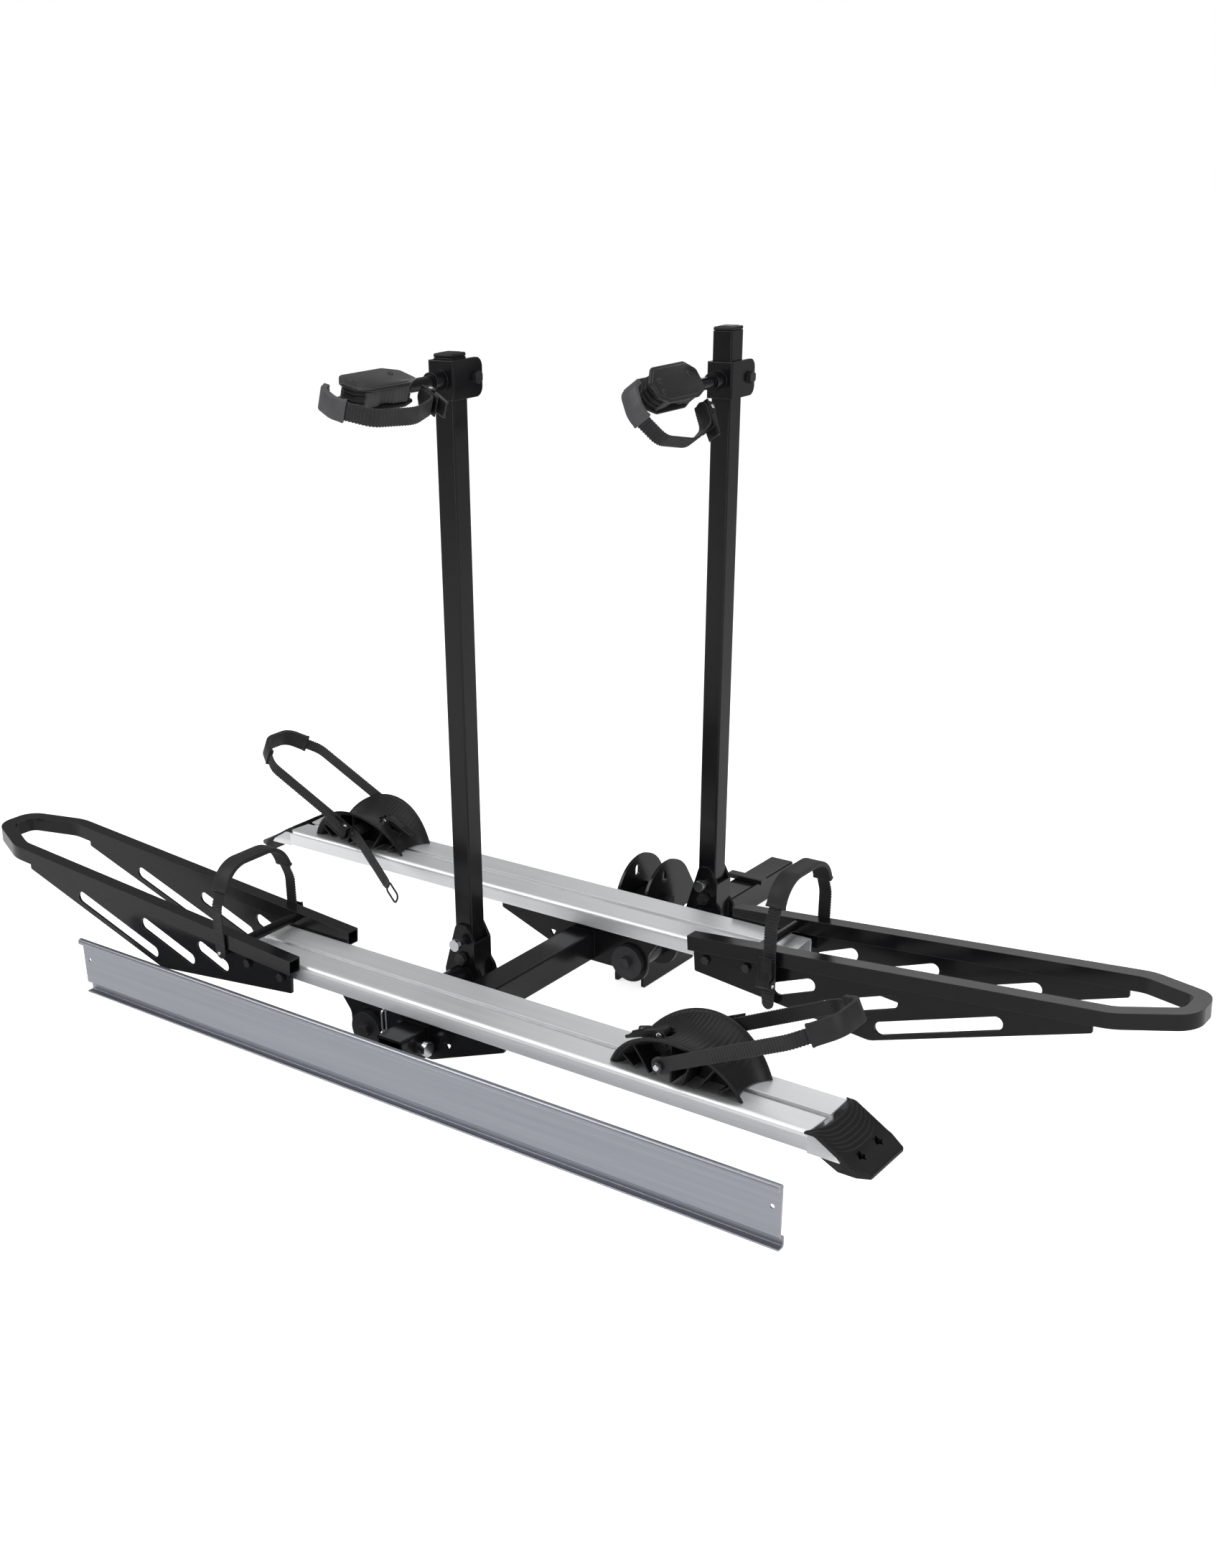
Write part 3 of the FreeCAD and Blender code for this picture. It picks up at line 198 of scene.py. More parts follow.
class Shape:
    """Faces collected in one part's own frame, each with the number of its material."""

    def __init__(self):
        self.verts = []
        self.faces = []
        self.inks = []

    def add(self, verts, faces, ink=0):
        start = len(self.verts)
        self.verts += [tuple(v) for v in verts]
        self.faces += [tuple(start + i for i in f) for f in faces]
        self.inks += [ink] * len(faces)

    def loft(self, rings, ink=0, looped=False):
        """Skin over a row of closed rings, with flat ends unless the row is itself looped."""
        count = len(rings[0])
        verts = [p for ring in rings for p in ring]
        faces = []
        rows = len(rings) if looped else len(rings) - 1
        for r in range(rows):
            a = r * count
            b = ((r + 1) % len(rings)) * count
            for k in range(count):
                n = (k + 1) % count
                faces.append((a + k, a + n, b + n, b + k))
        if not looped:
            faces.append(tuple(reversed(range(count))))
            faces.append(tuple(range(len(verts) - count, len(verts))))
        self.add(verts, faces, ink)

    def slab(self, outline, low, high, lift=flat, ink=0, edge=1.0):
        """Plate with rounded edges."""
        edge = min(edge, 0.49 * (high - low))
        rings = []
        for angle in (0, 30, 60, 90):
            a = math.radians(angle)
            ring = inset(outline, edge * (1 - math.sin(a)))
            rings.append([lift(p.x, p.y, low + edge * (1 - math.cos(a))) for p in ring])
        for angle in (90, 60, 30, 0):
            a = math.radians(angle)
            ring = inset(outline, edge * (1 - math.sin(a)))
            rings.append([lift(p.x, p.y, high - edge * (1 - math.cos(a))) for p in ring])
        self.loft(rings, ink)

    def lathe(self, profile, start, axis, ink=0, count=28):
        """Round part: profile rows are (distance along the axis, radius)."""
        axis = Vector(axis).normalized()
        u = axis.orthogonal().normalized()
        v = axis.cross(u)
        rings = []
        for along, radius in profile:
            centre = Vector(start) + axis * along
            turns = [2 * math.pi * k / count for k in range(count)]
            rings.append([centre + (u * math.cos(t) + v * math.sin(t)) * radius for t in turns])
        self.loft(rings, ink)

    def sheet(self, top, bottom, keep=None, ink=0):
        """Solid between two grids of points; cells that are not kept become openings."""
        rows, columns = len(top), len(top[0])
        verts = [p for row in top for p in row] + [p for row in bottom for p in row]
        low = rows * columns
        kept = {(i, j) for i in range(rows - 1) for j in range(columns - 1) if keep is None or keep(i, j)}
        faces = []
        for i, j in kept:
            a, b = i * columns + j, i * columns + j + 1
            c, d = a + columns + 1, a + columns
            faces.append((a, d, c, b))
            faces.append((low + a, low + b, low + c, low + d))
            for cell, p, q in (((i - 1, j), a, b), ((i + 1, j), c, d), ((i, j - 1), d, a), ((i, j + 1), b, c)):
                if cell not in kept:
                    faces.append((p, q, low + q, low + p))
        self.add(verts, faces, ink)


def make(name, shape, place, body, inks, replaced, smooth=35):
    """Mesh object from a shape, riding its body and standing for CAD nodes."""
    mesh = bpy.data.meshes.new(name)
    mesh.from_pydata([MM * (place @ Vector(v)) for v in shape.verts], [], shape.faces)
    for ink in inks:
        mesh.materials.append(ink)
    for face, number in zip(mesh.polygons, shape.inks):
        face.material_index = number
        face.use_smooth = True
    mesh.validate()
    thing = bpy.data.objects.new(name, mesh)
    bpy.context.scene.collection.objects.link(thing)
    tidy_normals(thing)
    mesh.set_sharp_from_angle(angle=math.radians(smooth))
    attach(thing, body)
    if replaced:
        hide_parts(*replaced)
    return thing


def tidy_normals(thing):
    bpy.context.view_layer.objects.active = thing
    thing.select_set(True)
    bpy.ops.object.mode_set(mode="EDIT")
    bpy.ops.mesh.select_all(action="SELECT")
    bpy.ops.mesh.normals_make_consistent(inside=False)
    bpy.ops.object.mode_set(mode="OBJECT")
    thing.select_set(False)


def carve(thing, outlines, low, high, place):
    """Cuts straight holes through a mesh."""
    cutter = Shape()
    for outline in outlines:
        cutter.loft([[(q.x, q.y, level) for q in outline] for level in (low, high)])
    mesh = bpy.data.meshes.new("cutter")
    mesh.from_pydata([MM * (place @ Vector(v)) for v in cutter.verts], [], cutter.faces)
    tool = bpy.data.objects.new("cutter", mesh)
    bpy.context.scene.collection.objects.link(tool)
    tidy_normals(tool)
    cut = thing.modifiers.new("holes", "BOOLEAN")
    cut.object = tool
    cut.solver = "EXACT"
    cut.use_self = True
    bpy.context.view_layer.objects.active = thing
    bpy.ops.object.modifier_apply(modifier=cut.name)
    bpy.data.objects.remove(tool)


# ---------------------------------------------------------------- materials


def finish(name, dark, light, rough, metal=0.0, coat=0.0, patches=(9, 9, 9), grain=900, grain_depth=0.05,
           edge=None, bevel=0.0007, spread=0.06):
    """Procedural finish: cloudy tone and gloss, fine surface grain, softened and slightly worn edges."""
    ink = bpy.data.materials.new(name)
    ink.use_nodes = True
    nodes, links = ink.node_tree.nodes, ink.node_tree.links
    nodes.clear()
    out = nodes.new("ShaderNodeOutputMaterial")
    skin = nodes.new("ShaderNodeBsdfPrincipled")
    spot = nodes.new("ShaderNodeTexCoord")
    scale = nodes.new("ShaderNodeMapping")
    scale.inputs["Scale"].default_value = patches
    cloud = nodes.new("ShaderNodeTexNoise")
    cloud.inputs["Scale"].default_value = 1.0
    cloud.inputs["Detail"].default_value = 6.0
    tone = nodes.new("ShaderNodeMix")
    tone.data_type = "RGBA"
    tone.inputs[6].default_value = (*dark, 1)
    tone.inputs[7].default_value = (*light, 1)
    gloss = nodes.new("ShaderNodeMapRange")
    gloss.inputs["To Min"].default_value = max(0.03, rough - spread)
    gloss.inputs["To Max"].default_value = rough + spread
    fine = nodes.new("ShaderNodeTexNoise")
    fine.inputs["Scale"].default_value = grain
    fine.inputs["Detail"].default_value = 2.0
    bump = nodes.new("ShaderNodeBump")
    bump.inputs["Strength"].default_value = grain_depth
    bump.inputs["Distance"].default_value = 0.0004
    soft = nodes.new("ShaderNodeBevel")
    soft.samples = 4
    soft.inputs["Radius"].default_value = bevel
    links.new(spot.outputs["Object"], scale.inputs["Vector"])
    links.new(scale.outputs["Vector"], cloud.inputs["Vector"])
    links.new(spot.outputs["Object"], fine.inputs["Vector"])
    links.new(cloud.outputs["Fac"], tone.inputs[0])
    links.new(cloud.outputs["Fac"], gloss.inputs["Value"])
    links.new(gloss.outputs["Result"], skin.inputs["Roughness"])
    links.new(fine.outputs["Fac"], bump.inputs["Height"])
    links.new(soft.outputs["Normal"], bump.inputs["Normal"])
    links.new(bump.outputs["Normal"], skin.inputs["Normal"])
    colour = tone.outputs[2]
    if edge:
        shape = nodes.new("ShaderNodeNewGeometry")
        dot = nodes.new("ShaderNodeVectorMath")
        dot.operation = "DOT_PRODUCT"
        wear = nodes.new("ShaderNodeMapRange")
        wear.inputs["From Min"].default_value = 0.995
        wear.inputs["From Max"].default_value = 0.85
        wear.inputs["To Max"].default_value = 0.6
        worn = nodes.new("ShaderNodeMix")
        worn.data_type = "RGBA"
        worn.inputs[7].default_value = (*edge, 1)
        links.new(soft.outputs["Normal"], dot.inputs[0])
        links.new(shape.outputs["Normal"], dot.inputs[1])
        links.new(dot.outputs["Value"], wear.inputs["Value"])
        links.new(wear.outputs["Result"], worn.inputs[0])
        links.new(colour, worn.inputs[6])
        colour = worn.outputs[2]
    links.new(colour, skin.inputs["Base Color"])
    skin.inputs["Metallic"].default_value = metal
    skin.inputs["Coat Weight"].default_value = coat
    skin.inputs["Coat Roughness"].default_value = 0.12
    skin.inputs["Specular IOR Level"].default_value = 0.5 if metal else 0.2
    links.new(skin.outputs["BSDF"], out.inputs["Surface"])
    return ink


INKS = {
    "black_coat": finish("black_coat", (0.004, 0.004, 0.005), (0.007, 0.007, 0.008), 0.22, 0, 0.10, (14, 14, 14), 500,
                         0.10, (0.09, 0.09, 0.095), 0.0012),
    "black_bolt": finish("black_bolt", (0.02, 0.02, 0.022), (0.05, 0.05, 0.055), 0.36, 0.6, 0, (60, 60, 60), 900, 0.08,
                         (0.16, 0.16, 0.17), 0.0006),
    "zinc": finish("zinc", (0.52, 0.53, 0.55), (0.72, 0.73, 0.75), 0.24, 1.0, 0, (50, 50, 50), 1200, 0.05,
                   (0.9, 0.9, 0.92), 0.0005),
    "tray_aluminium": finish("tray_aluminium", (0.78, 0.79, 0.80), (0.90, 0.91, 0.92), 0.42, 0.75, 0, (3, 240, 240),
                             1400, 0.04, (0.95, 0.95, 0.96), 0.0010),
    "ramp_aluminium": finish("ramp_aluminium", (0.25, 0.26, 0.29), (0.34, 0.355, 0.39), 0.34, 0.85, 0, (3, 180, 180),
                             1400, 0.05, (0.75, 0.77, 0.80), 0.0012),
    "black_plastic": finish("black_plastic", (0.009, 0.009, 0.010), (0.016, 0.016, 0.017), 0.40, 0, 0, (30, 30, 30),
                            1500, 0.12, (0.06, 0.06, 0.062), 0.0006),
    "gloss_plastic": finish("gloss_plastic", (0.012, 0.012, 0.013), (0.022, 0.022, 0.024), 0.26, 0, 0.3, (30, 30, 30),
                            1200, 0.06, (0.10, 0.10, 0.105), 0.0008),
    "strap_plastic": finish("strap_plastic", (0.016, 0.016, 0.017), (0.026, 0.026, 0.028), 0.36, 0, 0, (40, 40, 40),
                            1300, 0.08, (0.13, 0.13, 0.135), 0.0004),
    "strap_rubber": finish("strap_rubber", (0.016, 0.016, 0.017), (0.026, 0.026, 0.028), 0.50, 0, 0, (40, 40, 40),
                           1600, 0.16, (0.08, 0.08, 0.08), 0.0008),
    "grey_rubber": finish("grey_rubber", (0.05, 0.05, 0.052), (0.08, 0.08, 0.083), 0.58, 0, 0, (40, 40, 40), 1600,
                          0.16, (0.16, 0.16, 0.16), 0.0008),
    "clamp_rubber": finish("clamp_rubber", (0.05, 0.05, 0.053), (0.09, 0.09, 0.094), 0.45, 0, 0, (40, 40, 40), 1600,
                           0.12, (0.30, 0.30, 0.31), 0.0008),
}
ZINC = INKS["zinc"]
PLASTIC = INKS["black_plastic"]
GLOSS = INKS["gloss_plastic"]


def slot_of(node):
    """Finish of each CAD node."""
    named = {"tilt_lock_pin": "zinc", "accessory_pin": "zinc", "accessory_pin_clip": "zinc", "near_tray":
             "tray_aluminium", "far_tray": "tray_aluminium", "loading_ramp": "ramp_aluminium",
             "tilt_pivot_bolt": "black_bolt", "hoop_fasteners": "black_bolt", "frame_bolts": "black_bolt"}
    if node in named:
        return named[node]
    endings = (("lock_pin", "zinc"), ("collar_bolt", "black_bolt"), ("cup_bolt", "zinc"), ("mast_cap", "black_plastic"),
               ("end_cap", "black_plastic"), ("wheel_cup", "black_plastic"), ("clamp_head", "black_plastic"),
               ("latch", "black_plastic"), ("buckle", "black_plastic"), ("_strap", "strap_plastic"),
               ("_pad", "strap_rubber"))
    for ending, slot in endings:
        if node.endswith(ending):
            return slot
    return "black_coat"


for node_name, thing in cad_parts.items():
    thing.data.materials.clear()
    thing.data.materials.append(INKS[slot_of(node_name)])

# ---------------------------------------------------------------- straps, pads and ratchets

RIB_PITCH = 4.8
RIB_STEPS = ((0.0, 0), (0.7, 1), (2.5, 1), (3.2, 0))


def strap_ring(track, s, half, low, high, outer, lift):
    """Cross-section of a strap with small chamfers. The outer side carries the ribs."""
    here, ahead = track.at(s)
    n = Vector((ahead.y, -ahead.x)) * outer
    c = min(0.5, half * 0.4)
    corners = ((-half + c, low), (half - c, low), (half, low + c), (half, high - c), (half - c, high),
               (-half + c, high), (-half, high - c), (-half, low + c))
    ring = []
    for across, off in corners:
        p = here + n * off
        ring.append(lift(p.x, p.y, across))
    return ring


def ladder(shape, track, half, outer, lift, plain=0.0, ink=0):
    """Ladder strap with cross ribs on its outer side, rounded ends and a plain first stretch."""
    valley = 0.85
    stations = []
    for d in (0.05, 0.6, 2, 4.5, 8, half):
        stations.append((d, 0))
        stations.append((track.length - d, 0))
    s = max(plain, half + 1)
    while s < track.length - half - RIB_PITCH:
        for step, rise in RIB_STEPS:
            stations.append((s + step, rise))
        s += RIB_PITCH
    smooth = half + 6
    while smooth < plain - 2:
        stations.append((smooth, 0.5))
        smooth += 5
    rings = []
    for s, rise in sorted(stations):
        end = min(s, track.length - s)
        width = half
        if end < half:
            width = math.sqrt(max(half ** 2 - (half - end) ** 2, 0.5))
        width -= 0.5 * (1 - rise)
        high = valley + (STRAP_THICKNESS / 2 - valley) * rise
        rings.append(strap_ring(track, s, width, -STRAP_THICKNESS / 2, high, outer, lift))
    shape.loft(rings, ink)


def pull_loop(shape, track, half, outer, lift, ink=0):
    """Finger loop moulded on the strap's free end."""
    here, ahead = track.at(track.length - 6)
    n = Vector((ahead.y, -ahead.x)) * outer
    reach = 44
    plan = rounded([(0, -half, 8), (reach, -half, 10), (reach, half, 10), (0, half, 8)], True, 12)
    hole = inset(plan, 4.4)
    rings = []
    for big, small in zip(plan, hole):
        middle = (big + small) / 2
        out = (big - small) / 2
        ring = []
        for k in range(8):
            t = 2 * math.pi * k / 8
            q = middle + out * math.cos(t)
            p = here + ahead * q.x + n * 1.7 * math.sin(t)
            ring.append(lift(p.x, p.y, q.y))
        rings.append(ring)
    shape.loft(rings, ink, True)


def pad(shape, track, first, last, half, outer, lift, ink=0):
    """Rubber sleeve: full section, grip grooves inside and a flared lip at both ends."""
    count = max(12, int((last - first) / 1.5))
    rings = []
    for k in range(count + 1):
        s = first + (last - first) * k / count
        here, ahead = track.at(s)
        n = Vector((ahead.y, -ahead.x)) * outer
        end = min(s - first, last - s)
        flare = max(0.0, 1 - end / 6.0)
        tall = 4.1 + 0.9 * flare
        wide = half + 0.9 * flare
        if end < 0.9:
            tall -= 0.8
            wide -= 0.8
        groove = 0.7 if k % 4 in (1, 2) and end > 6 else 0.0
        c = 1.6
        corners = ((-wide + c, -tall + groove), (wide - c, -tall + groove), (wide - 0.4, -tall + 0.6),
                   (wide, -tall + c), (wide, tall - c), (wide - 0.4, tall - 0.5), (wide - c, tall),
                   (-wide + c, tall), (-wide + 0.4, tall - 0.5), (-wide, tall - c), (-wide, -tall + c),
                   (-wide + 0.4, -tall + 0.6))
        rings.append([lift(p.x, p.y, a) for a, p in ((a, here + n * o) for a, o in corners)])
    shape.loft(rings, ink)


def moved(shape, place, other):
    """Adds another shape, drawn in its own frame, to a shape."""
    start = len(shape.verts)
    shape.verts += [tuple(place @ Vector(v)) for v in other.verts]
    shape.faces += [tuple(start + i for i in f) for f in other.faces]
    shape.inks += other.inks


def ratchet_base(shape, spot, shell=0, steel=1):
    """Channel that holds the strap, with ears for the lever, a hinge pin and a tail guide."""
    base = Shape()
    floor = rounded([(-12, -9.7, 1.4), (35, -9.7, 1.0), (37, -7.6, 1.2), (31, -6.6, 2), (-7, -6.6, 3),
                     (-12, -4.6, 1.6)])
    base.slab(floor, -14, 14, side, shell, 0.9)
    ear = rounded([(-9, -9.6, 1), (11, -9.6, 1), (8, 5.2, 6), (-8, 5.2, 6)])
    for low in (-14.2, 11.6):
        base.slab(ear, low, low + 2.6, side, shell, 0.8)
    for x in (14, 19, 24, 29):
        tooth = rounded([(x, -7, 0.4), (x + 2.6, -7, 0.4), (x + 2.2, -5.4, 0.8), (x + 0.6, -5.4, 0.6)])
        base.slab(tooth, -9, 9, side, shell, 0.4)
    base.lathe(((-15.2, 0.4), (-15.2, 2.6), (-14.4, 3.4), (-14.0, 3.4), (-14.0, 2.0), (14.0, 2.0), (14.0, 3.4),
                (14.4, 3.4), (15.2, 2.6), (15.2, 0.4)), (0, 0, 0), (0, 1, 0), steel)
    moved(shape, spot, base)


def ratchet_lever(name, body, spot, ink):
    """Lever with a round pivot end, raised side rails, thumb ridges and a turned-up tip."""
    lever = Shape()
    view = rounded([(-6, -4, 4), (-6, 5, 4), (10, 5, 5), (46, 2, 1.4), (46, 0, 1), (10, -3, 4), (2, -4, 2)])
    rail = rounded([(-6, -4, 4), (-6, 5.4, 4), (10, 6.4, 5), (47, 3.2, 1.6), (47, -0.4, 1.4), (10, -3.2, 4),
                    (2, -4, 2)])
    lever.slab(view, -9.2, 9.2, side, 0, 0.6)
    for low in (-11.2, 8.2):
        lever.slab(rail, low, low + 3, side, 0, 0.9)
    for k in range(5):
        x = 24 + 4 * k
        z = 3.6 - 0.083 * (x - 10)
        ridge = rounded([(x, z - 1, 0.3), (x + 1.8, z - 1.1, 0.3), (x + 1.6, z + 1.5, 0.7), (x + 0.3, z + 1.6, 0.6)])
        lever.slab(ridge, -8.4, 8.4, side, 0, 0.4)
    return make(name + "_shape", lever, spot, body, [ink], [name])


STRAP_INKS = [INKS["strap_plastic"], ZINC, PLASTIC]

for word, tray in HOOPS.items():
    hoop = tray @ shift(-234, 0, 178.6) @ turn("Z", 180) @ turn("Y", -HOOP_RISE)
    place = hoop @ shift(156, 0, 0) @ turn("Y", HOOP_RISE)
    track = Track([(87, -45), (87, 45, 40), (58, 112, 50), (-58, 112, 50), (-87, 45, 40), (-87, -100)])
    spot = frame_of((0, -99, -52), (0, 0, 1), (0, -1, 0))
    body = word + "_tyre_strap"
    strap = Shape()
    ladder(strap, track, 11, 1, front)
    strap.lathe(((0, 7.0), (6, 7.0), (9, 7.6), (12.2, 7.6), (14.6, 6.2), (15.2, 4.0), (15.2, 0.6)), (0, 74.6, -34),
                (0, 1, 0), 0)
    strap.lathe(((0, 3.4), (1.6, 3.4), (2.2, 2.6), (2.2, 0.4)), (0, 89.6, -34), (0, 1, 0), 1, 6)
    ratchet_base(strap, spot, 2, 1)
    make(word + "_hoop_strap_shape", strap, place, body, STRAP_INKS, [word + "_hoop_strap"])
    crown = Shape()
    first, last = track.stretch(lambda y, z: z >= 70)
    pad(crown, track, first, last, 16, 1, front)
    make(word + "_hoop_pad_shape", crown, place, body, [INKS["strap_rubber"]], [word + "_hoop_pad"])
    ratchet_lever(word + "_hoop_buckle", word + "_tyre_lever", place @ spot, PLASTIC)

# ---------------------------------------------------------------- wheel cups

GROOVE_RADIUS = 104
RIM_RISE = 17.4
AXIS_DROP = 51.4
CUP_HALF_WIDTH = 60
SHEET = 4
CUP_RIB_PITCH = 7.0


def saddle_radius(v):
    """Radius of the saddle about the wheel's axis: least in the groove, most at the rims."""
    return GROOVE_RADIUS + RIM_RISE * abs(v) ** 2.2


def saddle_reach(v):
    """Angle at which the saddle meets the tray."""
    return math.acos((AXIS_DROP + 0.5) / saddle_radius(v))


def cup_point(t, v, drop, ribs):
    """Point of the saddle: t runs along the tray, v across, drop is the depth below the outer face."""
    radius = saddle_radius(v)
    angle = t * saddle_reach(v)
    x = radius * math.sin(angle)
    lip = max(0.0, (abs(v) - 0.9) / 0.1)
    rise = 1.3 * math.sin(math.pi * min(lip, 1.0)) if lip > 0 else 0.0
    if ribs and abs(v) < 0.9:
        rise += 0.8 * max(0.0, math.cos(2 * math.pi * x / CUP_RIB_PITCH)) * max(0.0, min(1.0, (86 - abs(x)) / 6))
    radius += rise - drop
    x = radius * math.sin(angle)
    half = CUP_HALF_WIDTH - 20 * (x / 110) ** 2
    return (x, v * half, radius * math.cos(angle) - AXIS_DROP)


def in_opening(p):
    return -76 < p[0] < -27 and abs(p[1]) < 10.8


def build_cup(word):
    place = TRAYS[word] @ shift(CUP_X[word], 0, 163)
    along, across = 190, 40
    ts = [-1 + 2 * k / along for k in range(along + 1)]
    vs = [math.sin(math.pi / 2 * (-1 + 2 * k / across)) for k in range(across + 1)]
    top = [[cup_point(t, v, 0, True) for v in vs] for t in ts]
    bottom = [[cup_point(t, v, SHEET, False) for v in vs] for t in ts]
    cup = Shape()

    def keep(i, j):
        return not (in_opening(top[i][j]) and in_opening(top[i + 1][j + 1]))

    cup.sheet(top, bottom, keep)
    inner = GROOVE_RADIUS - SHEET
    under = [(inner * math.sin(math.radians(a)), inner * math.cos(math.radians(a)) - AXIS_DROP)
             for a in range(-54, 55, 4)]
    cup.slab(rounded([(84, -7, 2), (-84, -7, 2)] + under), -5.2, 5.2, side, 0, 0.4)
    for angle in (-52, -36, 0, 18, 36, 52):
        a = math.radians(angle)
        web = []
        for k in range(13):
            v = -0.86 + 1.72 * k / 12
            web.append(cup_point(a / saddle_reach(v), v, SHEET - 1, False))
        inner = 54 / math.cos(a)
        foot = [(inner * math.sin(a), y, inner * math.cos(a) - AXIS_DROP) for _, y, _ in reversed(web)]
        ring = web + foot
        lean = Vector((math.cos(a), 0, -math.sin(a))) * 1.3
        cup.loft([[Vector(p) - lean for p in ring], [Vector(p) + lean for p in ring]])
    cup.slab(rounded([(-25, -10.5, 3), (25, -10.5, 3), (25, 10.5, 3), (-25, 10.5, 3)]), -10.4, -6.4, flat, 0, 0.8)
    cup.lathe(((-59, 8.4), (-59, 9.6), (-58, 10.4), (58, 10.4), (59, 9.6), (59, 8.4)), (-8, 0, 34), (0, 1, 0))
    lug = rounded([(-56, 29, 3), (-32, 29, 3), (-33, 53, 9), (-55, 53, 9)])
    pocket = rounded([(-76, 20, 3), (-28, 20, 3), (-28, 40, 3), (-76, 30, 3)])
    cup.slab(pocket, -10.6, 10.6, side, 0, 0.4)
    for low in (-13.6, 10.5):
        cup.slab(lug, low, low + 3.1, side, 0, 0.8)
    cup.lathe(((-14.6, 0.5), (-14.6, 3.4), (-13.9, 4.4), (-13.4, 4.4), (-13.4, 3.0), (13.4, 3.0), (13.4, 4.4),
               (13.9, 4.4), (14.6, 3.4), (14.6, 0.5)), (-45, 0, 47), (0, 1, 0), 1)
    body = word + "_cup"
    make(word + "_wheel_cup_shape", cup, place, body, [PLASTIC, ZINC], [word + "_wheel_cup"], 40)

    bolt = Shape()
    bolt.lathe(((0, 4), (-3.6, 4.0), (-3.6, 7.8), (-6.4, 7.8), (-7.4, 6.8), (-7.4, 0.4)), (-8, -68.5, 34), (0, 1, 0), 1)
    bolt.lathe(((-7.3, 4.4), (-8.8, 4.4), (-9.6, 3.4), (-9.6, 2.0), (-8.6, 1.8), (-8.6, 0.3)), (-8, -68.5, 34),
               (0, 1, 0), 0)
    bolt.lathe(((0, 4), (136.6, 4), (136.6, 0.4)), (-8, -68.5, 34), (0, 1, 0), 0)
    make(word + "_cup_bolt_shape", bolt, place, body, [ZINC, INKS["black_bolt"]], [word + "_cup_bolt"])

    latch = Shape()
    view = rounded([(-6, -6, 6), (-6, 6, 6), (20, 7, 6), (62, 3, 2), (62, 0, 1), (20, -1, 4), (6, -6, 5)])
    rail = rounded([(-6, -6, 6), (-6, 6.2, 6), (20, 8.4, 6), (63, 4.4, 2.2), (63, -0.4, 1.6), (20, -1.4, 4),
                    (6, -6, 5)])
    latch.slab(view, -8.2, 8.2, side, 0, 0.6)
    for low in (-10, 7.2):
        latch.slab(rail, low, low + 2.8, side, 0, 0.9)
    for k in range(5):
        x = 36 + 4.5 * k
        z = 7 - (x - 20) * 4 / 42
        latch.slab(rounded([(x, z - 1, 0.3), (x + 2, z - 1.2, 0.3), (x + 1.7, z + 1.3, 0.8), (x + 0.3, z + 1.5, 0.7)]),
                   -7.4, 7.4, side, 0, 0.4)
    spot = place @ shift(-45, 0, 47) @ turn("Z", 180) @ turn("Y", 21)
    make(word + "_cup_latch_shape", latch, spot, word + "_cup_latch_lever", [PLASTIC],
         [word + "_cup_latch"])

    strap_place = place @ shift(-8, 0, 34) @ turn("Y", -STRAP_LEAN)
    track = Track([(-12, -66), (216, -66, 45), (277, -32, 30), (277, 30, 30), (216, 66, 50), (-16, 66, 120),
                   (-146, 116)])
    strap = Shape()
    ladder(strap, track, 11, 1, flat, 100)
    pull_loop(strap, track, 11.5, 1, flat)
    strap.lathe(((-2.4, 9.2), (-2.4, 12.2), (-1.4, 13.2), (1.6, 13.2), (2.4, 12.4), (2.4, 9.2)), (0, -66.6, 0),
                (0, 1, 0), 0)
    spot = frame_of((10, 78, 0), (1, 0, 0), (0, 1, 0))
    ratchet_base(strap, spot, 2, 1)
    body = word + "_wheel_strap"
    make(word + "_cup_strap_shape", strap, strap_place, body, STRAP_INKS, [word + "_cup_strap"])
    tip = Shape()
    first, last = track.stretch(lambda x, y: x >= 240)
    pad(tip, track, first, last, 16, 1, flat)
    make(word + "_cup_pad_shape", tip, strap_place, body, [INKS["strap_rubber"]], [word + "_cup_pad"])
    ratchet_lever(word + "_cup_buckle", word + "_strap_lever", strap_place @ spot, PLASTIC)


for word in TRAYS:
    build_cup(word)

# ---------------------------------------------------------------- tray end caps

CAP_HALF_WIDTH = 57.9
CAP_RIB_PITCH = 6.5
CAP_SLOPE = Track([(680, 163.4), (700, 163.4, 14), (752, 132, 60), (781, 121)])


def cap_height(x):
    """Height of the cap's top along the tray."""
    low, high = 0.0, CAP_SLOPE.length
    for _ in range(24):
        middle = (low + high) / 2
        if CAP_SLOPE.at(middle)[0].x < x:
            low = middle
        else:
            high = middle
    return CAP_SLOPE.at(low)[0].y


def cap_grids():
    """Top and underside of the cap, from its hollowed inner edge to its tapered nose."""
    top, bottom = [], []
    rows, columns = 96, 44
    for i in range(rows + 1):
        upper, lower = [], []
        for j in range(columns + 1):
            v = math.sin(math.pi / 2 * (-1 + 2 * j / columns))
            y = CAP_HALF_WIDTH * v
            inner = 702 - 17 * abs(v) ** 3
            outer = 780 - max(0.0, abs(y) - 46) * 2.2
            x = inner + (outer - inner) * i / rows
            d = x - inner
            z = cap_height(x)
            ridge = max(0.0, math.cos(2 * math.pi * (d - 3) / CAP_RIB_PITCH)) if d < 47 else 0.0
            z += 0.9 * ridge * min(1.0, (1 - abs(v)) * 12)
            near_edge = max(0.0, 1 - (CAP_HALF_WIDTH - abs(y)) / 2.5, 1 - (outer - x) / 2.5)
            z -= 1.8 * near_edge ** 2
            upper.append((x, y, z))
            deep = 131 - max(0.0, min(1.0, (x - 705) / 30)) * 15.4
            thin = x < 700 or abs(y) > 54.6
            lower.append((x, y, z - 2.6 if thin else min(deep, z - 2.6)))
        top.append(upper)
        bottom.append(lower)
    return top, bottom


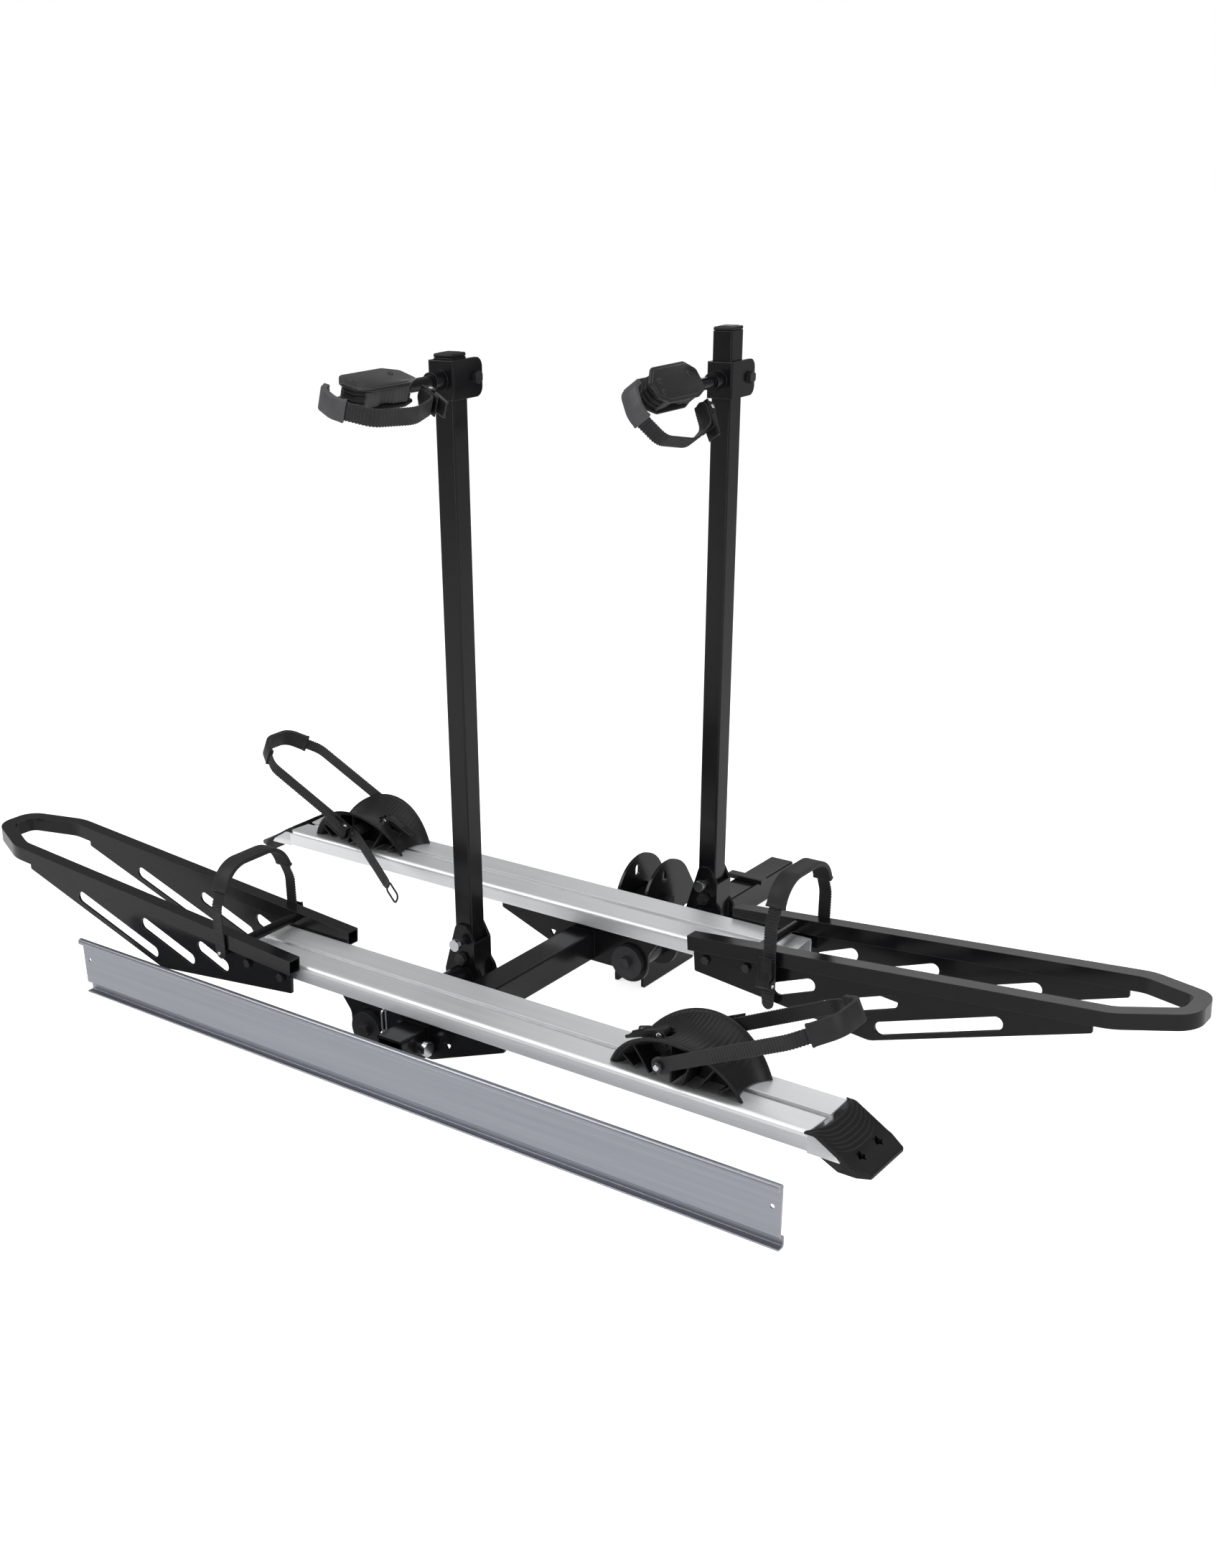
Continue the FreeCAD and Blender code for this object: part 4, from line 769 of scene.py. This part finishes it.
def star(x, y):
    points = []
    for k in range(10):
        radius = 9.6 if k % 2 == 0 else 5.4
        t = 2 * math.pi * k / 10
        points.append((x + radius * math.cos(t), y + radius * math.sin(t), 0.8))
    return rounded(points, True, 30)


for word, tray in TRAYS.items():
    cap = Shape()
    cap.sheet(*cap_grids())
    wall = rounded([(690.2, 131, 1), (690.2, 160.4, 1), (700, 160.2, 10), (730, 142.6, 2), (740, 131, 1)])
    for face in (-57.4, 54.8):
        cap.slab(wall, face, face + 2.6, side, 1, 0.4)
    thing = make(word + "_end_cap_shape", cap, tray, "rack", [PLASTIC, INKS["tray_aluminium"]],
                 [word + "_end_cap"], 40)
    carve(thing, [star(752, -24), star(752, 24)], 122, 190, tray)

# ---------------------------------------------------------------- masts' tops and clamps

for word, (x, y, z, roll) in MASTS.items():
    top = Shape()
    top.slab(rounded([(-17.5, -17.5, 3), (17.5, -17.5, 3), (17.5, 17.5, 3), (-17.5, 17.5, 3)]), 1068.2, 1074, flat, 0,
             2.4)
    top.slab(rounded([(-12.5, -12.5, 3), (12.5, -12.5, 3), (12.5, 12.5, 3), (-12.5, 12.5, 3)]), 1073, 1074.8, flat, 0,
             0.8)
    make(word + "_mast_cap_shape", top, shift(x, y, 0), word + "_mast_post", [PLASTIC],
         [word + "_mast_cap"])

    place = shift(x, y, z) @ turn("Y", roll)
    head = Shape()
    plate = rounded([(-20, -95, 8), (-36, -118, 12), (-36, -206, 14), (-14, -229, 10), (12, -224, 10), (24, -200, 10),
                     (24, -122, 12), (14, -95, 8)])
    panel = inset(plate, 5)
    for low, high in ((12.8, 17.2), (-17.2, -12.8)):
        head.slab(plate, low, high, flat, 0, 1.9)
    for low, high in ((16.2, 18), (-18, -16.2)):
        head.slab(panel, low, high, flat, 0, 0.7)
    jaw = [(40 + 30 * math.cos(math.radians(a)), -161 + 30 * math.sin(math.radians(a))) for a in range(215, 140, -7)]
    core = rounded([(-16, -98, 8), (-30, -120, 12), (-30, -204, 14), (-12, -224, 10), (8, -219, 8), (18, -204, 4)]
                   + jaw + [(18, -118, 6), (10, -98, 6)])
    for k in range(3):
        low = -13 + k * 9.0
        head.slab(core, low, low + 8.0, flat, 1, 1.6)
    head.slab(inset(core, 2.2), -13, 13, flat, 1, 0.5)
    liner = Track([(18, -206), (16.5, -192)] + [(q[0] + 0.5, q[1]) for q in jaw] + [(16.5, -130), (18, -117)])
    rings = []
    for k in range(45):
        s = liner.length * k / 44
        rings.append(strap_ring(liner, s, 11.5, -1.5, 2.4 if k % 3 else 1.2, 1, flat))
    head.loft(rings, 2)
    for px, py in ((-14, -122), (-12, -204), (6, -206)):
        for low, high in ((17.0, 19.0), (-19.0, -17.0)):
            head.slab(circle(px, py, 4.6, 24), low, high, flat, 3, 0.9)
    make(word + "_clamp_head_shape", head, place, word + "_clamp",
         [GLOSS, PLASTIC, INKS["grey_rubber"], INKS["black_bolt"]], [word + "_clamp_head"])

    track = Track([(28, -104), (66, -118, 22), (86, -176, 60), (70, -246, 30), (22, -274, 24), (-14, -262, 18),
                   (-24, -236)])
    spot = frame_of((43, -98, 0), (38, -14, 0), (14, 38, 0))
    strap = Shape()
    ladder(strap, track, 12.5, -1, flat)
    ratchet_base(strap, spot, 2, 1)
    make(word + "_clamp_strap_shape", strap, place, word + "_clamp", STRAP_INKS,
         [word + "_clamp_strap"])
    sleeve = Shape()
    first, last = track.stretch(lambda px, py: py <= -246 and -30 <= px <= 36)
    pad(sleeve, track, first, last, 15, -1, flat)
    make(word + "_clamp_pad_shape", sleeve, place, word + "_clamp", [INKS["clamp_rubber"]],
         [word + "_clamp_pad"])
    ratchet_lever(word + "_clamp_buckle", word + "_clamp_lever", place @ spot, GLOSS)

# ---------------------------------------------------------------- floor, light and camera

scene = bpy.context.scene
scene.view_settings.view_transform = "Standard"
low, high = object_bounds()

floor_mesh = bpy.data.meshes.new("floor")
wide = 60
level = low.z - 0.001
floor_mesh.from_pydata([(-wide, -wide, level), (wide, -wide, level), (wide, wide, level), (-wide, wide, level)], [],
                       [(0, 1, 2, 3)])
floor = bpy.data.objects.new("floor", floor_mesh)
scene.collection.objects.link(floor)
floor_ink = finish("studio_floor", (0.90, 0.90, 0.90), (0.92, 0.92, 0.92), 0.9, 0, 0, (2, 2, 2), 200, 0.0, None,
                   0.0001)
floor_glow = next(n for n in floor_ink.node_tree.nodes if n.type == "BSDF_PRINCIPLED")
floor_glow.inputs["Emission Color"].default_value = (1, 1, 1, 1)
floor_ray = floor_ink.node_tree.nodes.new("ShaderNodeLightPath")
floor_dim = floor_ink.node_tree.nodes.new("ShaderNodeMapRange")
floor_dim.inputs["To Min"].default_value = 0.25
floor_dim.inputs["To Max"].default_value = 0.765
floor_ink.node_tree.links.new(floor_ray.outputs["Is Camera Ray"], floor_dim.inputs["Value"])
floor_ink.node_tree.links.new(floor_dim.outputs["Result"], floor_glow.inputs["Emission Strength"])
floor_mesh.materials.append(floor_ink)

world = bpy.data.worlds.new("studio")
scene.world = world
world.use_nodes = True
nodes, links = world.node_tree.nodes, world.node_tree.links
nodes.clear()
sky = nodes.new("ShaderNodeBackground")
sky.inputs["Color"].default_value = (1, 1, 1, 1)
ray = nodes.new("ShaderNodeLightPath")
dim = nodes.new("ShaderNodeMapRange")
dim.inputs["To Min"].default_value = 0.26
dim.inputs["To Max"].default_value = 1.0
result = nodes.new("ShaderNodeOutputWorld")
links.new(ray.outputs["Is Camera Ray"], dim.inputs["Value"])
links.new(dim.outputs["Result"], sky.inputs["Strength"])
links.new(sky.outputs["Background"], result.inputs["Surface"])


def softbox(name, spot, target, width, height, power):
    """Rectangular studio light aimed at a point."""
    data = bpy.data.lights.new(name, "AREA")
    data.shape = "RECTANGLE"
    data.size = width
    data.size_y = height
    data.energy = power
    lamp = bpy.data.objects.new(name, data)
    scene.collection.objects.link(lamp)
    aim = Vector(target) - Vector(spot)
    lamp.matrix_world = shift(*spot) @ aim.to_track_quat("-Z", "Y").to_matrix().to_4x4()


middle = (0, -0.7, 0.4)
softbox("key", (-2.6, -3.2, 3.6), middle, 2.4, 2.4, 85)
softbox("strip_right", (3.6, -1.6, 2.2), middle, 0.8, 3.0, 55)
softbox("strip_front", (0.6, -4.6, 0.9), middle, 0.5, 2.6, 26)
softbox("top", (0.2, -0.4, 4.6), middle, 3.6, 3.6, 70)
softbox("back", (-1.0, 3.2, 2.4), middle, 2.4, 1.6, 14)

AZIMUTH = math.radians(40.58)
ELEVATION = math.radians(26.65)
ROLL = math.radians(-2.50)
right = Vector((math.cos(AZIMUTH), math.sin(AZIMUTH), 0))
back = Vector((math.sin(AZIMUTH) * math.cos(ELEVATION), -math.cos(AZIMUTH) * math.cos(ELEVATION),
               math.sin(ELEVATION)))
up = back.cross(right)
camera_x = right * math.cos(ROLL) + up * math.sin(ROLL)
camera_y = up * math.cos(ROLL) - right * math.sin(ROLL)
eye = Vector((1.636, -2.912, 1.345))
lens = bpy.data.cameras.new("camera")
lens.sensor_width = 36
lens.lens = 40.42
lens.shift_x = 0.1031
lens.shift_y = 0.1554
camera = bpy.data.objects.new("camera", lens)
scene.collection.objects.link(camera)
camera.matrix_world = Matrix(((camera_x.x, camera_y.x, back.x, eye.x), (camera_x.y, camera_y.y, back.y, eye.y),
                              (camera_x.z, camera_y.z, back.z, eye.z), (0, 0, 0, 1)))
scene.camera = camera
